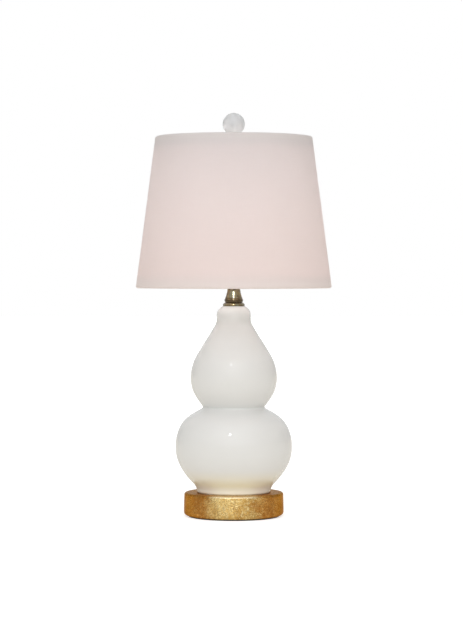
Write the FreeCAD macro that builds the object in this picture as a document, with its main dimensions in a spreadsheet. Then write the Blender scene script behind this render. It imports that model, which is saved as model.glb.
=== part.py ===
import FreeCAD, Part
import math
import os
import re
import Sketcher

# Double gourd table lamp, millimetres, +Z up.
# Origin: centre of the felt on the table. The front of the lamp faces -Y, the
# cord hole is at the back (+Y), and the switch knob is on the right (+X).
# The harp stands in the plane X = 0, across the switch.

doc = FreeCAD.newDocument("gourd_lamp")
V = FreeCAD.Vector

# ---------------------------------------------------------------------------
# Driving dimensions
# ---------------------------------------------------------------------------
DIMS = {
    # base
    "felt_rad": 59.0, "felt_thick": 1.5,
    "plinth_rad_low": 64.8, "plinth_rad_top": 64.4, "plinth_top": 31.2,
    "plinth_edge_low": 4.5, "plinth_edge_top": 3.0,
    "recess_rad": 40.0, "recess_top": 19.0,
    "cord_z": 10.6, "cord_hole_rad": 5.2, "cord_bore_rad": 3.6,
    "spot_rad": 8.4, "spot_y": 63.1, "bush_flange_rad": 7.9, "bush_flange_thick": 1.8,
    # threaded lamp pipe and what it clamps
    "pipe_rad": 5.0, "pipe_bore": 3.3, "pipe_low": 7.5, "pipe_top": 309.0,
    "thread_gap": 0.05, "pipe_clear": 0.3,
    "washer_rad": 17.0, "washer_thick": 1.5,
    "lock_rad": 8.5, "lock_thick": 1.2,
    "nut_flat": 14.3, "nut_corner": 8.2561, "nut_thick": 4.0,
    # porcelain body
    "gasket_rad_in": 36.0, "gasket_rad": 46.6, "gasket_thick": 0.8,
    "foot_bush_rad": 11.7, "foot_bush_top": 42.0,
    "foot_hole": 12.0, "foot_floor_low": 35.0, "foot_floor_top": 40.0,
    "mouth_rad": 9.0, "mouth_z": 273.0, "mouth_low": 267.0,
    # brass neck
    "spigot_rad": 8.7, "spigot_low": 268.5,
    "flange_rad": 14.2, "flange_top": 277.4,
    "bead_rad": 12.1, "neck_top_rad": 8.0, "neck_top": 299.0,
    # harp saddle
    "strip_thick": 1.6, "strip_wide": 9.5, "eye_rad": 8.4, "blade_wide": 4.2,
    "arm_y": 26.0, "arm_bend": 6.0, "shoulder_z": 307.8, "blade_top": 320.0,
    # socket
    "hub_rad": 7.6, "hub_top": 307.5, "cap_rad": 18.0, "cap_wall": 0.8,
    "cap_top": 320.0, "socket_shell_rad": 17.1, "socket_shell_wall": 0.6,
    "socket_shell_low": 315.4, "socket_shell_top": 355.0,
    "liner_rad": 16.35, "liner_wall": 0.5,
    "body_rad": 15.2, "body_low": 317.6, "body_top": 333.0,
    "switch_z": 327.0, "shaft_rad": 1.6, "shaft_gap": 0.06,
    "shell_hole": 3.0, "knob_rad": 6.0, "knob_x": 18.4, "knob_long": 12.6,
    "rotor_rad": 4.6,
    "screw_shell_top": 354.0,
    # bulb
    "bulb_low": 336.5, "bulb_cap_rad": 13.05, "bulb_pitch": 3.6286,
    "bulb_rad": 30.0, "bulb_top": 446.5, "glass_wall": 0.9,
    # harp
    "wire_rad": 1.9, "leg_y": 28.1, "leg_low": 308.1, "leg_straight": 337.0,
    "bow_y": 48.5, "bow_bend": 30.0, "bow_corner": 40.0, "bow_top": 472.6,
    "ferrule_y": 27.2, "ferrule_rad": 4.6, "ferrule_bore": 3.6,
    "ferrule_low": 308.0, "ferrule_long": 13.0,
    # stud on the harp
    "stud_rad": 3.1, "stud_top": 490.0, "shoulder_rad": 7.5,
    "seat_z": 476.0, "seat_neck_rad": 5.42,
    # shade frame
    "ring_hole": 5.5, "ring_rad": 12.5, "ring_thick": 1.5, "arm_rad": 1.5,
    "top_ring_rad": 99.1, "top_ring_z": 489.95, "low_ring_rad": 124.0,
    "low_ring_z": 298.98, "ring_wire": 1.45,
    # shade skin
    "shade_rt": 102.0, "shade_rb": 126.9, "roll": 2.58, "shade_top": 492.6,
    "shade_low": 296.4, "shade_slope": 0.13034, "cloth": 0.7, "sheet_thick": 0.6,
    "skin_gap": 0.05, "hem": 0.6,
    # finial
    "ball_rad": 14.4, "ball_z": 509.0, "insert_rad": 4.3, "insert_top": 491.4,
    "finial_foot_rad": 7.6, "cup_rad": 8.2, "peg_rad": 2.5, "peg_top": 502.0,
}

# Outline of the porcelain, radius, height and the radius of the arc that leads
# to the next point. Positive arcs hollow the outline, negative ones swell it.
OUTER = [
    (13.400, 273.000, -8.655), (16.350, 271.444, -40.036), (18.900, 269.200, -9.834),
    (21.160, 265.914, -10.092), (21.950, 262.000, 0), (22.000, 256.800, 17.937),
    (22.644, 252.038, 18.924), (24.500, 247.600, 0), (30.339, 237.700, 241.669),
    (36.500, 228.000, -167.571), (41.382, 220.253, 0), (46.100, 212.400, -111.241),
    (49.652, 206.115, -47.708), (52.500, 199.500, -68.031), (55.035, 189.885, -53.846),
    (55.950, 180.000, -47.154), (55.393, 172.775, -53.630), (53.800, 165.700, -36.055),
    (51.034, 158.975, -80.033), (47.300, 152.700, -118.408), (43.769, 147.633, -269.676),
    (40.050, 142.700, 3.202), (40.715, 140.901, 5.150), (42.200, 139.600, 190.559),
    (47.832, 136.452, -90.007), (53.400, 133.200, -86.618), (57.959, 130.106, -43.852),
    (62.200, 126.600, -31.440), (66.363, 121.816, -50.519), (69.700, 116.400, -40.173),
    (72.407, 110.055, -86.523), (74.300, 103.400, -38.057), (75.297, 96.747, -112.102),
    (75.500, 90.000, -59.210), (75.000, 82.320, -48.380), (73.400, 74.800, -53.859),
    (70.275, 66.732, -65.419), (66.000, 59.200, -108.528), (61.189, 52.470, -80.572),
    (55.800, 46.200, 0), (52.847, 43.071, 24.967), (50.200, 39.700, 16.369),
    (49.013, 37.551, 5.644), (48.500, 35.200, 0), (48.250, 33.100, -1.3),
    (47.100, 32.000, 0),
]
INNER = [
    (46.800, 43.200, 0), (52.325, 49.512, 75.856), (57.433, 55.458, 103.882),
    (61.991, 61.840, 54.563), (68.416, 75.300, 48.452), (70.700, 90.000, 68.156),
    (69.555, 102.440, 40.734), (65.463, 114.145, 34.311), (59.147, 122.571, 50.784),
    (50.832, 129.145, -63.086), (44.275, 133.913, 48.710), (37.637, 138.550, -5.179),
    (35.919, 140.173, -4.040), (35.250, 142.400, -6.332), (35.485, 144.107, -4.469),
    (36.251, 145.634, 266.932), (39.863, 150.422, 113.994), (43.291, 155.340, 51.080),
    (49.039, 167.125, 40.314), (51.150, 180.000, 49.451), (48.647, 195.533, 69.773),
    (42.000, 209.904, 0), (31.068, 227.490, 0), (20.343, 245.200, -23.721),
    (18.007, 250.795, -22.734), (17.200, 256.800, 0), (17.200, 262.000, 6.4),
    (12.500, 267.000, 0),
]
for tag, table in (("outer", OUTER), ("inner", INNER)):
    for k, (rad, high, bend) in enumerate(table):
        DIMS["%s_rad_%02d" % (tag, k)] = rad
        DIMS["%s_high_%02d" % (tag, k)] = high
        if bend:
            DIMS["%s_bend_%02d" % (tag, k)] = abs(bend)

sheet = doc.addObject("Spreadsheet::Sheet", "dims")
sheet.Label = "dims"
for k, (alias, number) in enumerate(DIMS.items()):
    sheet.set("A%d" % (k + 1), alias)
    sheet.set("B%d" % (k + 1), repr(float(number)))
    sheet.setAlias("B%d" % (k + 1), alias)
doc.recompute()

TERM = re.compile(r"([+-]?)\s*([0-9.]+|[A-Za-z_]\w*)(?:\s*\*\s*([0-9.]+|[A-Za-z_]\w*))?")


def num(word):
    return float(word) if word[0].isdigit() or word[0] == "." else float(DIMS[word])


def val(e):
    """Number of a sum such as 'plinth_top + 2*roll'."""
    if not isinstance(e, str):
        return float(e)
    total = 0.0
    for sign, a, b in TERM.findall(e):
        total += (-1 if sign == "-" else 1) * num(a) * (num(b) if b else 1.0)
    return total


def bound(e):
    """The same sum as an expression on the sheet."""
    return re.sub(r"[A-Za-z_]\w*", lambda w: "dims." + w.group(0), e)


def plane(body, role):
    return [o for o in body.Origin.OriginFeatures if o.Role == role][0]


def arc_geometry(a, b, bend):
    """Arc from a to b; a positive bend has its centre on the left of a to b."""
    d = b.sub(a)
    c = d.Length
    n = V(-d.y / c, d.x / c, 0)
    side = 1 if bend > 0 else -1
    rise = math.sqrt(max(bend * bend - c * c / 4, 0)) * side
    centre = a.add(d.multiply(0.5)).add(n.multiply(rise))
    mid_dir = a.add(b).multiply(0.5).sub(centre)
    if mid_dir.Length < 1e-9:
        mid_dir = V(-n.x * side, -n.y * side, 0)
    mid_dir.normalize()
    mid = centre.add(mid_dir.multiply(abs(bend)))
    return Part.Arc(a, mid, b)


def ends_of(sk, geo, a, b):
    """Which end of the drawn edge is a, and which is b."""
    return (1, 2) if (sk.getPoint(geo, 1) - a).Length < (sk.getPoint(geo, 2) - a).Length else (2, 1)


class Rules:
    """Constraints of one sketch, gathered and then given to it in one go."""

    def __init__(self, sk):
        self.sk, self.rules, self.sums = sk, [], []

    def plain(self, *args):
        self.rules.append(Sketcher.Constraint(*args))

    def sized(self, kind, refs, e):
        if isinstance(e, str) and re.search("[A-Za-z]", e):
            self.sums.append((len(self.rules), bound(e)))
        self.rules.append(Sketcher.Constraint(kind, *refs, val(e)))

    def point(self, geo, pos, x, y):
        for kind, axis, e in (("DistanceX", -2, x), ("DistanceY", -1, y)):
            if abs(val(e)) < 1e-9:
                self.plain("PointOnObject", geo, pos, axis)
            else:
                self.sized(kind, (-1, 1, geo, pos), e)

    def give(self):
        first = self.sk.ConstraintCount
        self.sk.addConstraint(self.rules)
        for k, e in self.sums:
            self.sk.setExpression("Constraints[%d]" % (first + k), e)


def outline(sk, points, closed=True):
    """Lines and arcs through points (x, y[, bend]); each size bound to the sheet."""
    count = len(points) if closed else len(points) - 1
    P = [V(val(p[0]), val(p[1]), 0) for p in points]
    edges, sizes = [], []
    for k in range(count):
        a, b = P[k], P[(k + 1) % len(P)]
        if len(points[k]) > 2:
            sign, size = points[k][2]
            edges.append(arc_geometry(a, b, sign * val(size)))
            sizes.append(size)
        else:
            edges.append(Part.LineSegment(a, b))
            sizes.append(None)
    first = sk.GeometryCount
    sk.addGeometry(edges, False)
    made = []
    for k in range(count):
        g = first + k
        ends = ends_of(sk, g, P[k], P[(k + 1) % len(P)]) if sizes[k] is not None else (1, 2)
        made.append((g, ends, sizes[k]))
    rules = Rules(sk)
    for k in range(count if closed else count - 1):
        g, e, _ = made[k]
        g2, e2, _ = made[(k + 1) % count]
        rules.plain("Coincident", g, e[1], g2, e2[0])
    for k in range(count):
        g, e, size = made[k]
        rules.point(g, e[0], points[k][0], points[k][1])
        if size is not None:
            rules.sized("Radius", (g,), size)
    if not closed:
        g, e, _ = made[-1]
        rules.point(g, e[1], points[-1][0], points[-1][1])
    rules.give()
    return made


def add_sketch(body, name, role, shift=0.0, bound_shift=None):
    sk = body.newObject("Sketcher::SketchObject", name)
    sk.AttachmentSupport = [(plane(body, role), "")]
    sk.MapMode = "FlatFace"
    if shift or bound_shift:
        sk.AttachmentOffset = FreeCAD.Placement(V(0, 0, shift), FreeCAD.Rotation())
        if bound_shift:
            sk.setExpression("AttachmentOffset.Base.z", bound(bound_shift))
    return sk


def new_body(name, placement=None):
    body = doc.addObject("PartDesign::Body", name)
    body.Label = name
    if placement is not None:
        body.Placement = placement
    return body


def turned(name, points, placement=None):
    """A piece turned about its own Z axis from a half outline (radius, height)."""
    body = new_body(name, placement)
    sk = add_sketch(body, name + "_outline", "XZ_Plane")
    outline(sk, points)
    turn = body.newObject("PartDesign::Revolution", name + "_turned")
    turn.Profile = sk
    turn.ReferenceAxis = (sk, ["V_Axis"])
    turn.Angle = 360
    body.Tip = turn
    return body


def found_body(name):
    return [o for o in doc.Objects if o.Label == name and o.TypeId == "PartDesign::Body"][0]


def circle(sk, x, y, rad):
    g = sk.addGeometry(Part.Circle(V(val(x), val(y), 0), V(0, 0, 1), val(rad)), False)
    rules = Rules(sk)
    if abs(val(x)) < 1e-9 and abs(val(y)) < 1e-9:
        rules.plain("Coincident", g, 3, -1, 1)
    else:
        rules.point(g, 3, x, y)
    rules.sized("Radius", (g,), rad)
    rules.give()
    return g


def wire_path(sk, pts, bends):
    """An open path of lines and arcs that run into each other."""
    made = []
    for k, bend in enumerate(bends):
        a, b = pts[k], pts[k + 1]
        if bend:
            g = sk.addGeometry(arc_geometry(a, b, bend), False)
            made.append((g, ends_of(sk, g, a, b)))
        else:
            g = sk.addGeometry(Part.LineSegment(a, b), False)
            made.append((g, (1, 2)))
    rules = Rules(sk)
    for (g, e), (g2, e2) in zip(made, made[1:]):
        rules.plain("Tangent", g, e[1], g2, e2[0])
    return made, rules


def pocket(body, sk, name, length, reverse=False, through=False, middle=False):
    """Cuts a pocket and makes sure that it took something away."""
    doc.recompute()
    before = body.Shape.Volume
    cut = body.newObject("PartDesign::Pocket", name)
    cut.Profile = sk
    if through:
        cut.Type = "ThroughAll"
    else:
        cut.Type = "Length"
        cut.Length = val(length)
        if isinstance(length, str):
            cut.setExpression("Length", bound(length))
    cut.Midplane = middle
    cut.Reversed = reverse
    body.Tip = cut
    doc.recompute()
    if not body.Shape.Volume < before - 1e-6:
        raise RuntimeError(name + " cuts nothing")
    return cut


def pad(body, sk, name, length, middle=False, reverse=False):
    solid = body.newObject("PartDesign::Pad", name)
    solid.Profile = sk
    solid.Length = val(length)
    if isinstance(length, str):
        solid.setExpression("Length", bound(length))
    solid.Midplane = middle
    solid.Reversed = reverse
    body.Tip = solid
    return solid


def polar(body, feature, name, count):
    many = body.newObject("PartDesign::PolarPattern", name)
    many.Originals = [feature]
    many.Axis = (plane(body, "Z_Axis"), [""])
    many.Angle = 360
    many.Occurrences = count
    body.Tip = many
    return many


ALONG_X = FreeCAD.Rotation(V(0, 1, 0), 90)      # local Z to +X
ALONG_BACK_X = FreeCAD.Rotation(V(0, 1, 0), -90)  # local Z to -X
ALONG_Y = FreeCAD.Rotation(V(1, 0, 0), -90)     # local Z to +Y

# ---------------------------------------------------------------------------
# Base
# ---------------------------------------------------------------------------
turned("base_felt", [
    (0, 0), ("felt_rad", 0), ("felt_rad", "felt_thick"), (0, "felt_thick")])

plinth = turned("base_plinth", [
    ("recess_rad", "felt_thick"),
    ("plinth_rad_low - plinth_edge_low", "felt_thick", (1, "plinth_edge_low")),
    ("plinth_rad_low", "felt_thick + plinth_edge_low"),
    ("plinth_rad_low", "cord_z + 1.4"),
    ("plinth_rad_top", "plinth_top - plinth_edge_top", (1, "plinth_edge_top")),
    ("plinth_rad_top - plinth_edge_top", "plinth_top"),
    ("pipe_rad + pipe_clear", "plinth_top"),
    ("pipe_rad + pipe_clear", "recess_top"),
    ("recess_rad", "recess_top")])
# Cord hole through the back of the plinth, with a spot face for the bushing.
sk = add_sketch(plinth, "cord_hole", "XZ_Plane")
circle(sk, 0, "cord_z", "cord_hole_rad")
pocket(plinth, sk, "cord_hole_cut", 80.0)
sk = add_sketch(plinth, "cord_spot", "XZ_Plane", -val("spot_y"), "0 - spot_y")
circle(sk, 0, "cord_z", "spot_rad")
pocket(plinth, sk, "cord_spot_cut", 12.0)

# Cord bushing: a flanged sleeve pushed into the hole from outside.
bush = turned("cord_bushing", [
    ("cord_bore_rad", 0), ("cord_hole_rad - 0.1", 0),
    ("cord_hole_rad - 0.1", 22.0), ("bush_flange_rad", 22.0),
    ("bush_flange_rad", "22.0 + bush_flange_thick - 0.7", (1, 0.7)),
    ("bush_flange_rad - 0.7", "22.0 + bush_flange_thick"),
    ("cord_bore_rad + 0.9", "22.0 + bush_flange_thick", (1, 0.9)),
    ("cord_bore_rad", "22.0 + bush_flange_thick - 0.9")],
    FreeCAD.Placement(V(0, val("spot_y") - 22.0, val("cord_z")), ALONG_Y))
bush.setExpression("Placement.Base.y", bound("spot_y - 22.0"))
bush.setExpression("Placement.Base.z", bound("cord_z"))

# ---------------------------------------------------------------------------
# Threaded pipe and the hardware under the plinth
# ---------------------------------------------------------------------------
turned("lamp_pipe", [
    ("pipe_bore", "pipe_low"), ("pipe_rad - 0.6", "pipe_low"),
    ("pipe_rad", "pipe_low + 0.6"), ("pipe_rad", "pipe_top - 0.6"),
    ("pipe_rad - 0.6", "pipe_top"), ("pipe_bore", "pipe_top")])

turned("pipe_washer", [
    ("pipe_rad + thread_gap", "recess_top - washer_thick"),
    ("washer_rad", "recess_top - washer_thick"),
    ("washer_rad", "recess_top"), ("pipe_rad + thread_gap", "recess_top")])

# Toothed lock washer: a thin ring with slots round its rim.
lock = turned("lock_washer", [
    ("pipe_rad + thread_gap", "recess_top - washer_thick - lock_thick"),
    ("lock_rad", "recess_top - washer_thick - lock_thick"),
    ("lock_rad", "recess_top - washer_thick"),
    ("pipe_rad + thread_gap", "recess_top - washer_thick")])
sk = add_sketch(lock, "lock_slot", "XY_Plane")
outline(sk, [("lock_rad - 1.6", -0.5), ("lock_rad + 1", -0.5), ("lock_rad + 1", 0.5), ("lock_rad - 1.6", 0.5)])
slot = pocket(lock, sk, "lock_slot_cut", 40.0, reverse=True)
polar(lock, slot, "lock_slots", 12)

# Hex nut, with its corners turned off on the lower side.
nut = new_body("pipe_nut")
sk = add_sketch(nut, "nut_hex", "XY_Plane", val("recess_top - washer_thick - lock_thick - nut_thick"),
                "recess_top - washer_thick - lock_thick - nut_thick")
outline(sk, [
    ("nut_corner", 0), ("0.5*nut_corner", "0.5*nut_flat"), ("0 - 0.5*nut_corner", "0.5*nut_flat"),
    ("0 - nut_corner", 0), ("0 - 0.5*nut_corner", "0 - 0.5*nut_flat"), ("0.5*nut_corner", "0 - 0.5*nut_flat")])
circle(sk, 0, 0, "pipe_rad + thread_gap")
pad(nut, sk, "nut_pad", "nut_thick")
doc.recompute()
sk = add_sketch(nut, "nut_bevel", "XZ_Plane")
low = "recess_top - washer_thick - lock_thick - nut_thick"
outline(sk, [("0.5*nut_flat", low), ("nut_corner + 1", low), ("nut_corner + 1", low + " + 0.95")])
groove = nut.newObject("PartDesign::Groove", "nut_bevel_cut")
groove.Profile = sk
groove.ReferenceAxis = (sk, ["V_Axis"])
groove.Angle = 360
before = nut.Shape.Volume
nut.Tip = groove
doc.recompute()
if not nut.Shape.Volume < before - 1e-6:
    raise RuntimeError("the nut's bevel cuts nothing")

# ---------------------------------------------------------------------------
# Porcelain body, with what seats it
# ---------------------------------------------------------------------------
turned("foot_gasket", [
    ("gasket_rad_in", "plinth_top"), ("gasket_rad", "plinth_top"),
    ("gasket_rad", "plinth_top + gasket_thick"), ("gasket_rad_in", "plinth_top + gasket_thick")])

turned("foot_bushing", [
    ("pipe_rad + thread_gap", "plinth_top"), ("foot_bush_rad", "plinth_top"),
    ("foot_bush_rad", "foot_bush_top - 1", (1, 1.0)), ("foot_bush_rad - 1", "foot_bush_top"),
    ("pipe_rad + thread_gap", "foot_bush_top")])

profile = [("mouth_rad", "mouth_z")]
for tag, table in (("outer", OUTER), ("inner", INNER)):
    for k, (rad, high, bend) in enumerate(table):
        point = ["%s_rad_%02d" % (tag, k), "%s_high_%02d" % (tag, k)]
        if bend:
            point.append((1 if bend > 0 else -1, "%s_bend_%02d" % (tag, k)))
        profile.append(tuple(point))
    if tag == "outer":
        # foot ring, recessed floor and the hole in it
        profile += [(42.0, 32.0), (41.0, "foot_floor_low"), ("foot_hole", "foot_floor_low"),
                    ("foot_hole", "foot_floor_top"), (42.0, "foot_floor_top", (1, 7.0))]
profile.append(("mouth_rad", "mouth_low"))
turned("gourd_body", profile)

# ---------------------------------------------------------------------------
# Brass neck: a check ring on the porcelain and a waisted neck above it
# ---------------------------------------------------------------------------
turned("check_ring", [
    ("pipe_rad + thread_gap", "spigot_low"), ("spigot_rad", "spigot_low"),
    ("spigot_rad", "mouth_z"), ("flange_rad - 0.7", "mouth_z", (1, 0.7)),
    ("flange_rad", "mouth_z + 0.7"), ("flange_rad", "mouth_z + 1.5", (1, 3.3)),
    ("flange_rad - 1.8", "flange_top - 0.3", (1, 0.9)),
    ("flange_rad - 2.6", "flange_top"), ("pipe_rad + thread_gap", "flange_top")])

turned("brass_neck", [
    ("pipe_rad + thread_gap", "flange_top"), ("bead_rad - 0.75", "flange_top"),
    ("bead_rad - 0.75", "flange_top + 0.9", (1, 2.3)),
    ("bead_rad", "flange_top + 2.9", (1, 3.2)),
    ("bead_rad - 0.6", "flange_top + 5.2", (-1, 44.0)),
    ("neck_top_rad + 0.35", "neck_top - 4.2", (-1, 60.0)),
    ("neck_top_rad", "neck_top"), ("pipe_rad + thread_gap", "neck_top")])

# ---------------------------------------------------------------------------
# Harp saddle: a bent strip held between the neck and the socket cap
# ---------------------------------------------------------------------------
saddle = new_body("harp_saddle")
sk = add_sketch(saddle, "saddle_strip", "YZ_Plane")
low, top = "neck_top", "neck_top + strip_thick"
outline(sk, [
    ("0 - arm_y + arm_bend", low), ("arm_y - arm_bend", low, (1, "arm_bend")),
    ("arm_y", low + " + arm_bend"), ("arm_y", "blade_top"),
    ("arm_y - strip_thick", "blade_top"), ("arm_y - strip_thick", low + " + arm_bend", (-1, "arm_bend - strip_thick")),
    ("arm_y - arm_bend", top), ("0 - arm_y + arm_bend", top, (-1, "arm_bend - strip_thick")),
    ("0 - arm_y + strip_thick", low + " + arm_bend"), ("0 - arm_y + strip_thick", "blade_top"),
    ("0 - arm_y", "blade_top"), ("0 - arm_y", low + " + arm_bend", (1, "arm_bend"))])
pad(saddle, sk, "saddle_pad", "strip_wide", middle=True)
# round eye in the middle of the strip, where the pipe passes
sk = add_sketch(saddle, "saddle_eye", "XY_Plane", val("neck_top"), "neck_top")
circle(sk, 0, 0, "eye_rad")
pad(saddle, sk, "saddle_eye_pad", "strip_thick")
doc.recompute()
sk = add_sketch(saddle, "saddle_hole", "XY_Plane")
circle(sk, 0, 0, "pipe_rad + 0.15")
pocket(saddle, sk, "saddle_hole_cut", 305.0, reverse=True)
for tag, s in (("right", ""), ("left", "0 - ")):
    sk = add_sketch(saddle, "saddle_shoulder_" + tag, "XZ_Plane")
    a, b = (s + "0.5*blade_wide"), (s + "0.5*strip_wide" + (" - 1" if s else " + 1"))
    outline(sk, [(a, "shoulder_z"), (b, "shoulder_z"), (b, "blade_top + 1"), (a, "blade_top + 1")])
    pocket(saddle, sk, "saddle_shoulder_cut_" + tag, 80.0, middle=True)

# ---------------------------------------------------------------------------
# Socket
# ---------------------------------------------------------------------------
cap = turned("socket_cap", [
    ("pipe_rad + thread_gap", "neck_top + strip_thick"),
    ("hub_rad - 0.4", "neck_top + strip_thick"), ("hub_rad", "neck_top + strip_thick + 0.4"),
    ("hub_rad", "hub_top", (-1, 2.0)), ("hub_rad + 1.6", "hub_top + 1.6"),
    ("cap_rad - 3.0", "hub_top + 4.2", (1, 4.4)), ("cap_rad", "hub_top + 7.6"),
    ("cap_rad", "cap_top"), ("cap_rad - cap_wall", "cap_top"),
    ("cap_rad - cap_wall", "hub_top + 7.8", (-1, 3.8)), ("cap_rad - 3.3", "hub_top + 5.0"),
    ("hub_rad + 1.3", "hub_top + 2.5"), ("pipe_rad + thread_gap", "hub_top + 2.2")])
# Tapped hole for the set screw, on the left of the hub.
sk = add_sketch(cap, "set_hole", "YZ_Plane")
circle(sk, 0, "neck_top + 5.4", 1.55)
pocket(cap, sk, "set_hole_cut", 12.0)

screw = turned("cap_set_screw", [
    (0, 0), (0.9, 0), (1.5, 0.6), (1.5, 4.0), (0, 4.0)],
    FreeCAD.Placement(V(-5.05, 0, val("neck_top") + 5.4), ALONG_BACK_X))
screw.setExpression("Placement.Base.z", bound("neck_top + 5.4"))
sk = add_sketch(screw, "set_slot", "XY_Plane", 3.2)
outline(sk, [(-2.0, -0.25), (2.0, -0.25), (2.0, 0.25), (-2.0, 0.25)])
pocket(screw, sk, "set_slot_cut", 3.0, reverse=True)

shell = turned("socket_shell", [
    ("socket_shell_rad - socket_shell_wall", "socket_shell_low"), ("socket_shell_rad", "socket_shell_low"),
    ("socket_shell_rad", "cap_top + 0.8"), ("socket_shell_rad + 0.7", "cap_top + 1.9"),
    ("socket_shell_rad", "cap_top + 3.0"), ("socket_shell_rad", "socket_shell_top - 3.2"),
    ("socket_shell_rad + 0.8", "socket_shell_top - 1.6", (1, 1.3)),
    ("socket_shell_rad + 0.2", "socket_shell_top"),
    ("socket_shell_rad - socket_shell_wall", "socket_shell_top")])
sk = add_sketch(shell, "knob_hole", "YZ_Plane")
circle(sk, 0, "switch_z", "shell_hole")
pocket(shell, sk, "knob_hole_cut", 40.0, reverse=True)

liner = turned("socket_liner", [
    ("liner_rad - liner_wall", "body_low - 0.6"), ("liner_rad", "body_low - 0.6"),
    ("liner_rad", "socket_shell_top - 0.8"), ("liner_rad - liner_wall", "socket_shell_top - 0.8")])
sk = add_sketch(liner, "liner_hole", "YZ_Plane")
circle(sk, 0, "switch_z", "shell_hole")
pocket(liner, sk, "liner_hole_cut", 40.0, reverse=True)

# The moulded interior is two halves that close round the switch shaft.
for name, a, b in (("socket_base_lower", "body_low", "switch_z"), ("socket_base_upper", "switch_z", "body_top")):
    half = turned(name, [
        (2.2, a), ("body_rad", a), ("body_rad", b), (2.2, b)] if name.endswith("lower") else [
        (0, a), ("body_rad", a), ("body_rad", b), (0, b)])
    sk = add_sketch(half, name + "_bore", "YZ_Plane")
    circle(sk, 0, "switch_z", "shaft_rad + shaft_gap")
    pocket(half, sk, name + "_bore_cut", 20.0, reverse=True)
    sk = add_sketch(half, name + "_chamber", "YZ_Plane", -4.4)
    circle(sk, 0, "switch_z", "rotor_rad + 0.5")
    pocket(half, sk, name + "_chamber_cut", 7.0, reverse=True)
    sk = add_sketch(half, name + "_seats", "XZ_Plane")
    if name.endswith("lower"):
        # seats for the two terminal screws, front and back
        circle(sk, 0, "switch_z - 5.4", 3.1)
        pocket(half, sk, name + "_seat_back", 40.0, reverse=False)
        cut = half.Tip
        cut.Type = "Length"
        sk2 = add_sketch(half, name + "_seats_front", "XZ_Plane")
        circle(sk2, 0, "switch_z - 5.4", 3.1)
        pocket(half, sk2, name + "_seat_front", 40.0, reverse=True)
    else:
        # relief for the spring tongue's rivet, under the screw shell
        circle(sk, "body_rad - 3.4", "body_top", 0.6)
        pocket(half, sk, name + "_vent", 2.0, middle=True)

# Terminal screws: two slotted heads with short shanks, front and back.
screws = []
for tag, s in (("front", -1), ("back", 1)):
    head = doc.addObject("Part::Cylinder", "terminal_head_" + tag)
    head.Radius, head.Height = 2.6, 1.8
    shank = doc.addObject("Part::Cylinder", "terminal_shank_" + tag)
    shank.Radius, shank.Height = 1.5, 5.0
    slot = doc.addObject("Part::Box", "terminal_slot_" + tag)
    slot.Length, slot.Width, slot.Height = 6.0, 0.7, 1.0
    rot = FreeCAD.Rotation(V(1, 0, 0), -90 * s)
    y = 12.6
    head.Placement = FreeCAD.Placement(V(0, s * y, val("switch_z") - 5.4), rot)
    head.setExpression("Placement.Base.z", bound("switch_z - 5.4"))
    shank.Placement = FreeCAD.Placement(V(0, s * (y - 5.0), val("switch_z") - 5.4), rot)
    shank.setExpression("Placement.Base.z", bound("switch_z - 5.4"))
    slot.Placement = FreeCAD.Placement(V(-3.0, s * (y + 1.0) if s > 0 else -(y + 2.0), val("switch_z") - 5.4 - 0.35),
                                       FreeCAD.Rotation())
    slot.Length, slot.Width, slot.Height = 6.0, 1.0, 0.7
    slot.setExpression("Placement.Base.z", bound("switch_z - 5.75"))
    join = doc.addObject("Part::Fuse", "terminal_blank_" + tag)
    join.Base, join.Tool = head, shank
    cutter = doc.addObject("Part::Cut", "terminal_screw_" + tag)
    cutter.Base, cutter.Tool = join, slot
    screws.append(cutter)
both = doc.addObject("Part::Compound", "terminal_screws")
both.Label = "terminal_screws"
both.Links = screws

# Wavy screw shell that takes the bulb's cap.
wave_out, wave_in = [], []
steps = 9
for k in range(steps + 1):
    z = "body_top + 1.2 + %.4f" % (k * 1.8143)
    wave_out.append(("bulb_cap_rad + %s" % ("0.65" if k % 2 else "1.15"), z))
    wave_in.append(("bulb_cap_rad + %s" % ("0.15" if k % 2 else "0.65"), z))
turned("screw_shell", [
    ("bulb_cap_rad - 3.0", "body_top"), ("bulb_cap_rad + 0.6", "body_top")] + wave_out + [
    ("bulb_cap_rad + 1.1", "screw_shell_top"), ("bulb_cap_rad + 0.6", "screw_shell_top")] +
    wave_in[::-1] + [("bulb_cap_rad + 0.1", "body_top + 0.5"), ("bulb_cap_rad - 3.0", "body_top + 0.5")])

# Sprung centre contact: a bent brass tongue on the moulding.
tongue = new_body("centre_contact")
sk = add_sketch(tongue, "tongue_side", "XZ_Plane")
outline(sk, [
    (-7.0, "body_top"), (-2.5, "body_top"), (1.6, "bulb_low - 0.75"), (4.0, "bulb_low - 0.75"),
    (4.0, "bulb_low - 0.15"), (1.2, "bulb_low - 0.15"), (-2.9, "body_top + 0.6"), (-7.0, "body_top + 0.6")])
pad(tongue, sk, "tongue_pad", 5.0, middle=True)

# Switch: rotor inside the moulding, shaft through it and a ribbed knob outside.
rotor = new_body("switch_rotor", FreeCAD.Placement(V(-4.2, 0, val("switch_z")), ALONG_X))
rotor.setExpression("Placement.Base.z", bound("switch_z"))
sk = add_sketch(rotor, "rotor_cross", "XY_Plane")
a = 1.9
outline(sk, [
    ("rotor_rad", -a), ("rotor_rad", a), (a, a), (a, "rotor_rad"), (-a, "rotor_rad"), (-a, a),
    ("0 - rotor_rad", a), ("0 - rotor_rad", -a), (-a, -a), (-a, "0 - rotor_rad"), (a, "0 - rotor_rad"), (a, -a)])
circle(sk, 0, 0, "shaft_rad")
pad(rotor, sk, "rotor_pad", 6.4)
doc.recompute()
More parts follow.
